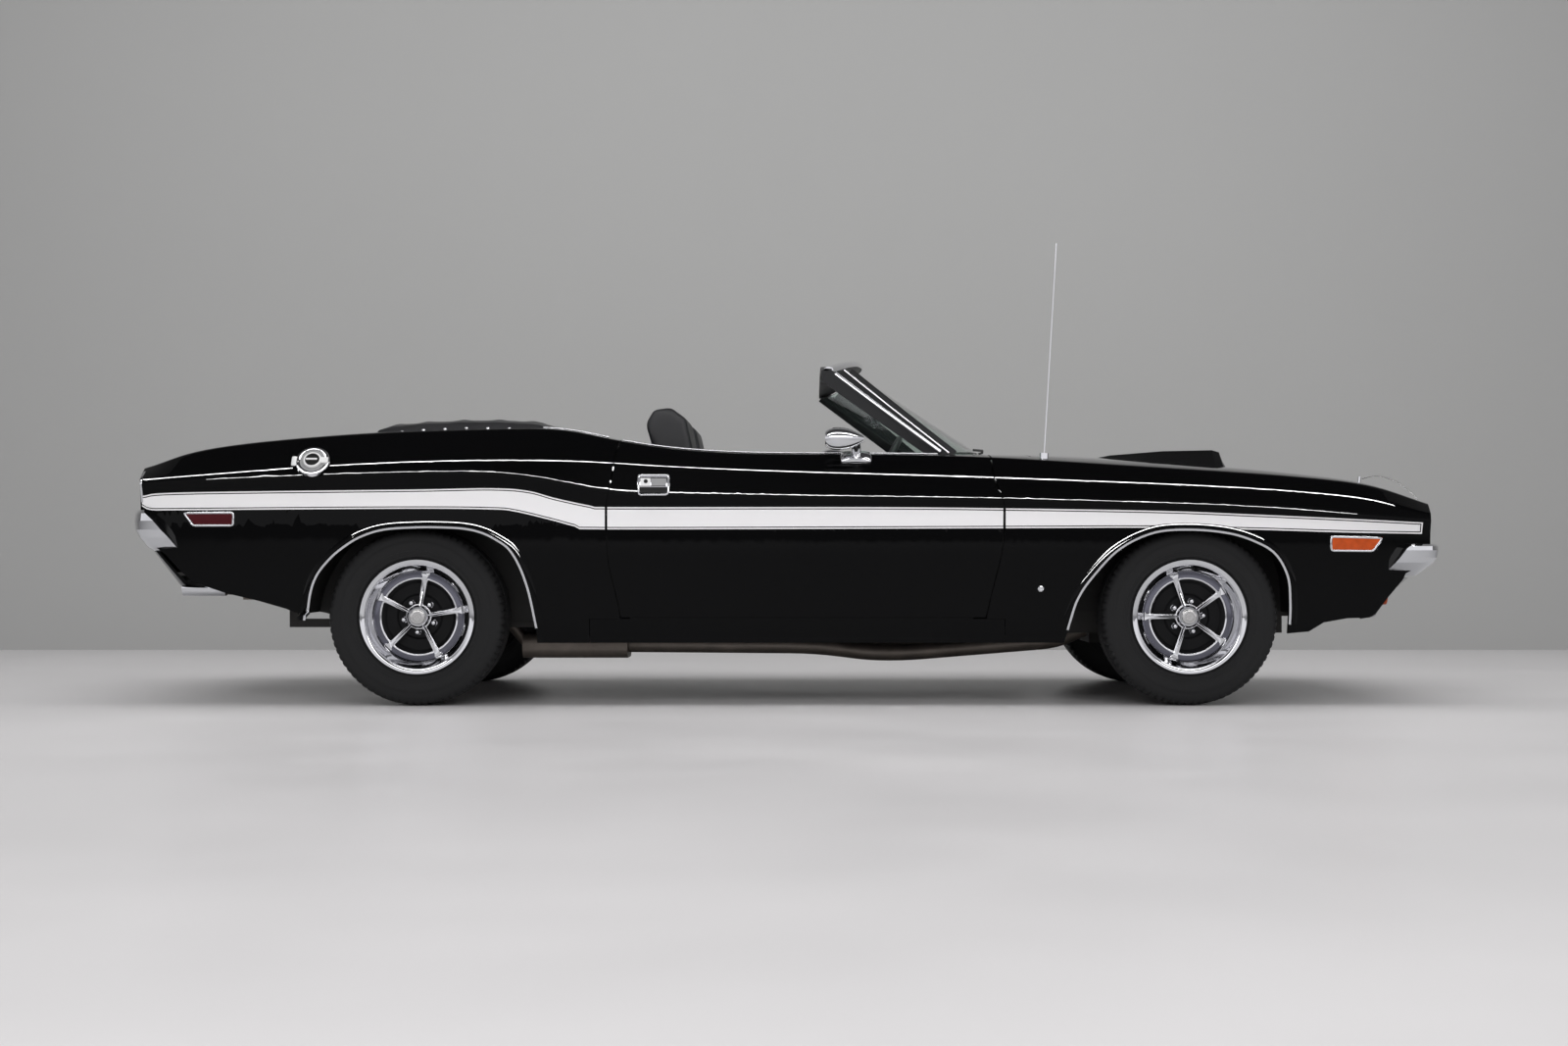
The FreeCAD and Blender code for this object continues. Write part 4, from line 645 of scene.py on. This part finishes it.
for side, sideName in sideNames:
    for name, (part, outline, width, high) in frames.items():
        corners = [Vector(p) for p in outline]
        loop = []
        for i, corner in enumerate(corners):
            before, after = corners[i - 1], corners[(i + 1) % len(corners)]
            first = corner.lerp(before, frameCorner / (before - corner).length)
            share = frameCorner / (after - corner).length
            second = corner.lerp(after, share)
            loop += [first, (first + second + corner * 2) / 4, second]
            steps = max(1, int((after - corner).length / frameStep))
            loop += [second.lerp(corner.lerp(after, 1 - share), t / steps) for t in range(1, steps)]
        section = [(x, z - 2) for x, z in roundBar(width, high + 2, 0.4)]
        makePiece("%s_%s" % (name, sideName), railed(*onPanel(side, part, loop), section, True),
                  "chrome", bodyOf(part, sideName))
    for name, (xs, z, section, material) in pull.items():
        makePiece(name + sideName, railed(*onPanel(side, "door", [(x, z) for x in xs]), section),
                  material, "door_" + sideName)
    for name, (part, place, profile, material) in buttons.items():
        hits, outs = onPanel(side, part, [place])
        makePiece(name + sideName, moved(turned(profile, 20), standOn(hits[0], outs[0])), material,
                  bodyOf(part, sideName))
    tailPlaces = onPanel(side, "quarter", [(tailLine["x"], z) for z in tailLine["z"]], 0.87)
    makePiece("tail_edge_line_" + sideName, railed(*tailPlaces, tailLine["section"]), "chrome", "body")
print("side trim made")

# Thin bright belt line on the top edge of the quarters and doors
belt = {"ranges": {"quarter": (-880, -641), "door": (-631, 560)}, "step": 24, "searchFrom": 0.715,
        "searchStep": 0.0025, "above": 0.86, "outward": 0.004, "lean": 0.25,
        "section": roundBar(9, 4.5, 0.4)}
for side, sideName in sideNames:
    for part, (x0, x1) in belt["ranges"].items():
        points, outs = [], []
        count = round((x1 - x0) / belt["step"])
        for i in range(count + 1):
            x = (x0 + (x1 - x0) * i / count) / 1000
            for j in range(60):
                y = side * (belt["searchFrom"] + j * belt["searchStep"])
                hit, out = roof(panels[side, part], x, y, 0)
                if hit.z > belt["above"]:
                    points.append(hit + Vector((0, side * belt["outward"], 0)))
                    outs.append(Vector((0, -side * belt["lean"], 1)).normalized())
                    break
        makePiece("belt_line_%s_%s" % (part, sideName), railed(points, outs, belt["section"]), "chrome",
                  bodyOf(part, sideName))
print("belt lines made")

# Windshield: strips and faces of the pillars, header cap, mirror feet and wipers
shield = {
    "front": [(604, 770, 917), (406, 704, 1078), (224, 631, 1230)],
    "back": [(573, 769, 922), (377, 703, 1072), (192, 632, 1217)],
    "face": [(624, 765, 913), (428, 699, 1072), (246, 628, 1224)],
    "header": [(165, 620, 1236), (222, 470, 1264), (258, 310, 1281), (282, 150, 1288), (290, 0, 1290)],
    "cap": [(17, -13), (18, -2), (14, 4), (4, 7.5), (-8, 7), (-15, 2), (-17, -6), (-13, -7), (10, -4),
            (13, -13)],
    "sideShift": (31, 10, 6), "mirrorAt": (262, 893), "mirrorFoot": (112, 46, 26),
}
wiper = {"arms": ((-470, 560), (130, 500)), "lift": 0.013, "section": roundBar(7, 9, 0.3),
         "line": [(-760, 610), (-560, 704), (-300, 762), (0, 784), (300, 762), (560, 704), (760, 610)]}


def pillarPart(side, places, section):
    line = smoothLine([mm(x, y * side, z) for x, y, z in places], 0.04)
    return railed(line, [Vector((0, side, 0))] * len(line), section)


for side, sideName in sideNames:
    makePiece("pillar_strips_" + sideName,
              merged([pillarPart(side, shield["front"], roundBar(8, 7, 0.4)),
                      pillarPart(side, shield["back"], roundBar(13, 7, 0.4))]), "chrome", "body")
    makePiece("pillar_face_" + sideName, pillarPart(side, shield["face"], roundBar(27, 8, 0.4)),
              "trim", "body")
    dx, dy, dz = shield["sideShift"]
    behind = [(x - dx, y - dy, z - dz) for x, y, z in shield["face"]]
    makePiece("pillar_side_" + sideName, pillarPart(side, behind, roundBar(40, 12, 0.2)), "trim", "body")
    hits, outs = onPanel(side, "door", [shield["mirrorAt"]], 0.84)
    stand = standOn(hits[0] + outs[0] * 0.004, outs[0], "Z", "Y")
    makePiece("mirror_foot_" + sideName, moved(puffed(*shield["mirrorFoot"], 5), stand), "chrome",
              "door_" + sideName)
across = [(x, -y, z) for x, y, z in shield["header"]] + shield["header"][-2::-1]
line = smoothLine([mm(*p) for p in across], 0.03)
makePiece("header_cap",
          swept(line, [Vector((1, 0, 0))] * len(line), [upright] * len(line), shield["cap"]),
          "chrome", "body")
cowlTree = treeOf("cowl")
wiperParts = []
for pivot, reach in wiper["arms"]:
    run = []
    for t in range(9):
        y = pivot + reach * t / 8 - 60
        x = valueAt([Vector(p) for p in wiper["line"]], y)
        run.append(roof(cowlTree, x / 1000, y / 1000, 0.93)[0] + Vector((0, 0, wiper["lift"])))
    wiperParts.append(railed(run, [upright] * len(run), wiper["section"]))
makePiece("wiper_blades", merged(wiperParts), "trim", "body")
print("windshield dressed")

# Filler cap: profiles are (outward, radius) from the cap's seat, blocks are x, y, z about it
filler = {
    "at": (-1687, -922, 876), "out": (0, -0.839, 0.545),
    "middle": [(20.5, 25.6), (22.2, 24.5), (22.2, 0.1)],
    "ring": [(-1, 60.6), (10.5, 60.6), (13.5, 58), (14.2, 53), (13.5, 46), (13.2, 45.5)],
    "face": [(12.5, 46.2), (14, 45.5), (15, 32.5)],
    "handleRing": [(14.5, 32.8), (20.5, 31.8), (22.2, 30), (22.2, 26.2), (20.5, 25.5)],
    "tab": ((-22, 18), (-25.5, -21.5), (-3.2, 3.2)), "lug": ((28, 56), (-19, -12), (-11.5, 11.5)),
    "screw": [(12, 3.6), (15, 3.4), (15.8, 2.2), (16, 0.1)], "screws": 6, "screwCircle": 52.5,
    "hinge": (20, 40, 12), "hingeAt": (-66, -10, 0),
}
outward = Vector(filler["out"]).normalized()
capFrame = Matrix.Translation(mm(*filler["at"])) @ Matrix((
    (1, 0, 0, 0), (0, -outward.y, outward.z, 0), (0, -outward.z, -outward.y, 0), (0, 0, 0, 1)))
screws = repeated("capScrews", ringPoints(filler["screwCircle"], 48), True, turned(filler["screw"], 10),
                  filler["screws"], "Y")
hingeFrame = Matrix.Translation(mm(*filler["hingeAt"])) @ Matrix.Rotation(math.pi / 2, 4, "X")
for name, part, material, body in (
        ("cap_middle", turned(filler["middle"], 48), "seal", "fuel_cap"),
        ("cap_ring", turned(filler["ring"], 72), "chrome", "fuel_cap"),
        ("cap_face", turned(filler["face"], 72), "castMetal", "fuel_cap"),
        ("cap_handle", merged([turned(filler["handleRing"], 72), boxPart(*filler["tab"]),
                               boxPart(*filler["lug"])]), "satin", "fuel_cap"),
        ("cap_screws", screws, "brightSteel", "fuel_cap"),
        ("cap_hinge", moved(puffed(*filler["hinge"], 3), hingeFrame), "satin", "body")):
    makePiece(name, moved(part, capFrame), material, body)
print("filler cap dressed")

# Padded seats: the solids remeshed, softened and sewn with channels in code
pads = {"voxel": 0.011, "smooth": 7, "channel": 0.062, "depth": 0.006, "channelReach": 0.72,
        "channelEdge": 0.04, "frontFrom": 0.35, "topFrom": 0.6, "facingRate": 2.5,
        "weltReach": 0.76, "weltWide": 0.007, "weltDeep": 0.004, "fill": 0.8}


def padOf(name, node, side):
    # the half of a node on one side, or all of it where side is 0
    work = bmesh.new()
    work.from_mesh(nodes[node].data)
    if side:
        bmesh.ops.delete(work, geom=[v for v in work.verts if v.co.y * side < 0], context="VERTS")
    bmesh.ops.remove_doubles(work, verts=work.verts, dist=0.00005)
    mesh = bpy.data.meshes.new(name + "Rough")
    work.to_mesh(mesh)
    work.free()
    rough = bpy.data.objects.new(name + "Rough", mesh)
    scene.collection.objects.link(rough)
    remesh = rough.modifiers.new("even", "REMESH")
    remesh.mode = "VOXEL"
    remesh.voxel_size = pads["voxel"]
    soften = rough.modifiers.new("soft", "SMOOTH")
    soften.factor = 0.5
    soften.iterations = pads["smooth"]
    bpy.context.view_layer.update()
    even = bpy.data.meshes.new_from_object(rough.evaluated_get(bpy.context.evaluated_depsgraph_get()))
    bpy.data.objects.remove(rough)
    ys = [v.co.y for v in even.vertices]
    middle, half = (min(ys) + max(ys)) / 2, (max(ys) - min(ys)) / 2
    verts = []
    for v in even.vertices:
        n = v.normal
        across = v.co.y - middle
        inside = min(1, max(0, (half * pads["channelReach"] - abs(across)) / pads["channelEdge"]))
        facing = min(1, sum(min(1, max(0, n[axis] - pads[start]) * pads["facingRate"])
                            for axis, start in ((0, "frontFrom"), (2, "topFrom"))))
        sewn = abs(math.sin(math.pi * across / pads["channel"]))
        drop = pads["depth"] * (1 - sewn) ** 3 * inside * facing
        fromWelt = (abs(across) - half * pads["weltReach"]) / pads["weltWide"]
        verts.append(v.co - n * (drop + pads["weltDeep"] * math.exp(-fromWelt ** 2) * facing))
    faces = [tuple(p.vertices) for p in even.polygons]
    bpy.data.meshes.remove(even)
    piece = makePiece(name, (verts, faces), "vinyl", "body", sharp=80, mend=False)
    return piece


seatPieces = [padOf("seat_pad_right", "front_seats", -1), padOf("seat_pad_left", "front_seats", 1)]
for piece in seatPieces:
    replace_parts(piece, "front_seats")
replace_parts(padOf("bench_pad", "rear_seat", 0), "rear_seat")
print("seats padded")

# The folded top's cover: one sheet over five soft bows, with a skirt and snaps round it
cover = {"x0": -1512, "x1": -818, "bows": (-1444, -1330, -1193, -1060, -934), "rise": 6.5,
         "sag": 2.5, "wide": 24, "stepX": 12, "across": 58, "crease": 0.8, "lift": 1.5,
         "thick": 0.003, "skirt": 0.022, "frontDrop": (0.006, -0.040), "rearDrop": (-0.004, -0.020),
         "reachFrom": 0.2, "reachStep": 0.004, "reachMost": 0.9, "above": 0.9}
snap = {"profile": [(-1, 8), (3, 7.5), (5, 4), (5.5, 0.1)], "count": 9}
bootTree = treeOf("top_boot")
coverRows = []
for i in range(round((cover["x1"] - cover["x0"]) / cover["stepX"]) + 1):
    x = cover["x0"] + i * cover["stepX"]
    reach, step = cover["reachFrom"], cover["reachStep"]
    while reach < cover["reachMost"] and roof(bootTree, x / 1000, reach + step, 0)[0].z > cover["above"]:
        reach += step
    bow = sum(math.exp(-((x - b) / cover["wide"]) ** 2) for b in cover["bows"])
    row = []
    for j in range(cover["across"] + 1):
        y = reach * math.sin(math.pi / 2 * (2 * j / cover["across"] - 1))
        hit, _ = roof(bootTree, x / 1000, y * 0.998, 0.95)
        flat = max(0, 1 - (abs(y) / reach) ** 6)
        crease = cover["crease"] * math.sin(x * 0.05 + y * 21) * math.sin(y * 47 + x * 0.013)
        height = cover["lift"] + (cover["rise"] * bow - cover["sag"] + crease) * flat
        row.append(hit + mm(0, 0, height))
    skirt = Vector((0, 0, cover["skirt"]))
    coverRows.append([row[0] - skirt] + row + [row[-1] - skirt])
for at, beside, (dx, dz) in ((len(coverRows), -1, cover["frontDrop"]), (0, 0, cover["rearDrop"])):
    coverRows.insert(at, [p + Vector((dx, 0, dz)) for p in coverRows[beside]])
under = [[p - Vector((0, 0, cover["thick"])) for p in row] for row in coverRows]
verts, coverFaces = grid([row + under[i][::-1] for i, row in enumerate(coverRows)], closeRow=True)
ring = len(coverRows[0]) * 2
lastRow = (len(coverRows) - 1) * ring
for j in range(ring // 2 - 1):
    coverFaces.append((j, ring - 1 - j, ring - 2 - j, j + 1))
    coverFaces.append((lastRow + j, lastRow + j + 1, lastRow + ring - 2 - j, lastRow + ring - 1 - j))
coverPiece = makePiece("boot_cover", (verts, coverFaces), "vinyl", "body", sharp=60)
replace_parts(coverPiece, "top_boot")
snapPart = moved(turned(snap["profile"], 14), Matrix.Rotation(-math.pi / 2, 4, "X"))
snapParts = [repeated("snaps_" + sideName, [row[3 if side < 0 else -4] for row in coverRows[4:-4]],
                      False, snapPart, snap["count"], "Z") for side, sideName in sideNames]
snapPiece = makePiece("cover_snaps", merged(snapParts), "chrome", "body")

# Steering wheel's horn ring, gauges, lamp bezels and exhaust tips
small = {
    "steerAt": (405, 370, 838), "tilt": 28, "hornDeep": 0.03,
    "horn": [(6, 30.5), (12, 30), (16, 26), (18, 14), (18, 0.1)],
    "gaugesAt": [(512, y, 915) for y in (245, 325, 415, 495)],
    "gaugeRing": [(-4, 23.5), (5, 23.5), (7, 22), (6, 20.5), (1, 20)],
    "gaugeFace": [(1, 20.3), (1.5, 0.1)],
    "bezelsAt": [(x + 2, y * side, 652) for x, y in ((2290, 690), (2310, 535)) for side in (-1, 1)],
    "bezel": [(0, 88), (12, 88), (16, 84), (12, 80), (2, 76), (-10, 76)],
    "tipsAt": [(-2210, y, 422) for y in (-700, 700)],
    "tip": [(-157, 27.2), (-157, 27.9), (-2, 27.9), (1, 27), (1, 23.8), (-55, 23.3)],
}


def setOut(profile, steps, places, turn):
    # turned parts at places in millimetres, facing forwards or backwards by the turn about Z
    part, facing = turned(profile, steps), Matrix.Rotation(turn, 4, "Z")
    return merged([moved(part, Matrix.Translation(mm(*place)) @ facing) for place in places])


tilt = math.radians(small["tilt"])
way = Vector((math.cos(tilt), 0, -math.sin(tilt)))
makePiece("horn_ring", moved(turned(small["horn"], 40),
                             standOn(mm(*small["steerAt"]) - way * small["hornDeep"], way, "Y")),
          "brightSteel", "steering_wheel")
forwards, backwards = math.pi / 2, -math.pi / 2
for name, profile, steps, places, turn, material in (
        ("gauge_rings", "gaugeRing", 36, "gaugesAt", backwards, "chrome"),
        ("gauge_faces", "gaugeFace", 36, "gaugesAt", backwards, "gauge"),
        ("lamp_bezels", "bezel", 48, "bezelsAt", forwards, "chrome"),
        ("exhaust_tips", "tip", 36, "tipsAt", backwards, "chrome")):
    makePiece(name, setOut(small[profile], steps, small[places], turn), material, "body")
print("small parts made")

# Hood-pin lanyards: free cords on the same route as their solids
lanyard = {"radius": 0.0015, "length": 0.387,
           "route": [(2159.4, 560, 827.5), (2200, 566, 842), (2250, 572, 834), (2298, 578, 812),
                     (2340, 584, 778), (2374, 588, 738), (2392, 590, 688), (2396, 590, 636),
                     (2390, 588, 606)]}
for side, sideName in sideNames:
    line = bpy.data.curves.new("lanyard_" + sideName, "CURVE")
    line.dimensions = "3D"
    line.bevel_depth = lanyard["radius"]
    line.bevel_resolution = 4
    line.use_fill_caps = True
    spline = line.splines.new("NURBS")
    route = [(x / 1000, side * y / 1000, z / 1000) for x, y, z in lanyard["route"]]
    spline.points.add(len(route) - 1)
    for point, place in zip(spline.points, route):
        point.co = (*place, 1)
    spline.order_u = 3
    spline.use_endpoint_u = True
    spline.resolution_u = 10
    line.materials.append(finish["brightSteel"])
    cord = bpy.data.objects.new("lanyard_" + sideName, line)
    scene.collection.objects.link(cord)
    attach(cord, "body")
    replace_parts(cord, "hood_lanyard_" + sideName)
print("lanyards made")

# Stage: a pale floor that mirrored rays see dimmer, and a wall that shows from its front alone
stage = {"wallY": 3.84, "half": 30, "high": 14}
floorFinish = newFinish("paleFloor", (0.66, 0.645, 0.65), 0.32, vary=0.25, varyScale=1.2, tone=0.04)
wallFinish = newFinish("paleWall", (0.40, 0.40, 0.395), 0.9, tone=0.03, varyScale=0.4)


def either(tree, chooser, output, first, second, target):
    # one shader or the other by an output of the chooser
    choice = tree.nodes.new("ShaderNodeMixShader")
    joinNodes(tree, (chooser, output, choice, "Fac"), (first, 0, choice, 1), (second, 0, choice, 2),
              (choice, "Shader", target, "Surface"))


floorTree, wallTree = floorFinish.node_tree, wallFinish.node_tree
dimmer = floorTree.nodes.new("ShaderNodeBsdfDiffuse")
dimmer.inputs["Color"].default_value = (0.52, 0.52, 0.53, 1)
either(floorTree, floorTree.nodes.new("ShaderNodeLightPath"), "Is Glossy Ray",
       floorTree.nodes["Principled BSDF"], dimmer, floorTree.nodes["Material Output"])
either(wallTree, wallTree.nodes.new("ShaderNodeNewGeometry"), "Backfacing",
       wallTree.nodes["Principled BSDF"], wallTree.nodes.new("ShaderNodeBsdfTransparent"),
       wallTree.nodes["Material Output"])


def makeStage(name, corners, material):
    mesh = bpy.data.meshes.new(name)
    mesh.from_pydata(corners, [], [(0, 1, 2, 3)])
    mesh.materials.append(material)
    sheet = bpy.data.objects.new(name, mesh)
    scene.collection.objects.link(sheet)


half, wallY, high = stage["half"], stage["wallY"], stage["high"]
makeStage("floor", [(-half, -half, 0), (half, -half, 0), (half, wallY, 0), (-half, wallY, 0)],
          floorFinish)
makeStage("wall", [(-half, wallY, 0), (half, wallY, 0), (half, wallY, high), (-half, wallY, high)],
          wallFinish)

# Room light: even for the room itself, and graded by height for mirrored rays
room = {"colour": (0.62, 0.62, 0.63, 1), "strength": 0.66, "mirrored": (0.60, 0.60, 0.62, 1),
        "heights": (0.08, 0.68), "strengths": (1.5, 0.09)}
world = bpy.data.worlds.new("room")
scene.world = world
world.use_nodes = True
worldTree = world.node_tree
background = worldTree.nodes["Background"]
background.inputs["Color"].default_value = room["colour"]
background.inputs["Strength"].default_value = room["strength"]
mirrored, direction, split, grade, rays = [worldTree.nodes.new(kind) for kind in (
    "ShaderNodeBackground", "ShaderNodeTexCoord", "ShaderNodeSeparateXYZ", "ShaderNodeMapRange",
    "ShaderNodeLightPath")]
mirrored.inputs["Color"].default_value = room["mirrored"]
grade.inputs["From Min"].default_value, grade.inputs["From Max"].default_value = room["heights"]
grade.inputs["To Min"].default_value, grade.inputs["To Max"].default_value = room["strengths"]
joinNodes(worldTree, (direction, "Generated", split, "Vector"), (split, "Z", grade, "Value"),
          (grade, "Result", mirrored, "Strength"))
either(worldTree, rays, "Is Glossy Ray", background, mirrored, worldTree.nodes["World Output"])

# Lamps: the strips are mirrored by the paint alone, and dimmer ones by the bright parts
highStrip = {"place": (0, -2.95, 4.3), "aim": (0, -0.8, 0.85)}
lowStrip = {"place": (0, -5.95, 3.2), "aim": (0, -0.9, 0.7)}
lamps = {
    "overhead": {"place": (0, -0.5, 5.2), "aim": (0, 0, 0), "size": (9, 5), "power": 270, "seen": None},
    "front": {"place": (0, -8.6, 4.0), "aim": (0, -3, 0.2), "size": (9, 3), "power": 330, "seen": None},
    "stripHigh": {**highStrip, "size": (10, 0.70), "power": 6130, "seen": "painted"},
    "brightHigh": {**highStrip, "size": (10, 0.8), "power": 100, "seen": "bright"},
    "stripLow": {**lowStrip, "size": (10, 0.50), "power": 4000, "seen": "painted"},
    "brightLow": {**lowStrip, "size": (10, 0.8), "power": 80, "seen": "bright"},
}
mirrors = {"painted": ["paint"], "bright": ["chrome", "brightSteel", "glass", "vinyl"]}
mirrorsOf = {name: bpy.data.collections.new(name) for name in mirrors}
for thing in scene.objects:
    material = thing.data.materials[0] if thing.type == "MESH" and thing.data.materials else None
    for name, kinds in mirrors.items():
        if material in [finish[kind] for kind in kinds]:
            mirrorsOf[name].objects.link(thing)
for name, values in lamps.items():
    lamp = bpy.data.lights.new(name, "AREA")
    lamp.shape = "RECTANGLE"
    lamp.size, lamp.size_y = values["size"]
    lamp.energy = values["power"]
    holder = bpy.data.objects.new(name, lamp)
    scene.collection.objects.link(holder)
    holder.location = values["place"]
    shine = Vector(values["aim"]) - Vector(values["place"])
    holder.rotation_euler = shine.to_track_quat("-Z", "Y").to_euler()
    holder.visible_camera = False
    holder.visible_glossy = bool(values["seen"])
    holder.visible_diffuse = not values["seen"]
    if values["seen"]:
        holder.light_linking.receiver_collection = mirrorsOf[values["seen"]]

view = {"place": (0.0725, -9.35, 0.5666), "lens": 53.93, "shift": (-0.0125, 0.01656), "sensor": 36}
cameraData = bpy.data.cameras.new("camera")
cameraData.lens = view["lens"]
cameraData.sensor_width = view["sensor"]
cameraData.shift_x, cameraData.shift_y = view["shift"]
camera = bpy.data.objects.new("camera", cameraData)
camera.location = view["place"]
camera.rotation_euler = (math.radians(90), 0, 0)
scene.collection.objects.link(camera)
scene.camera = camera
scene.view_settings.view_transform = "Standard"
print("stage, lights and camera set")
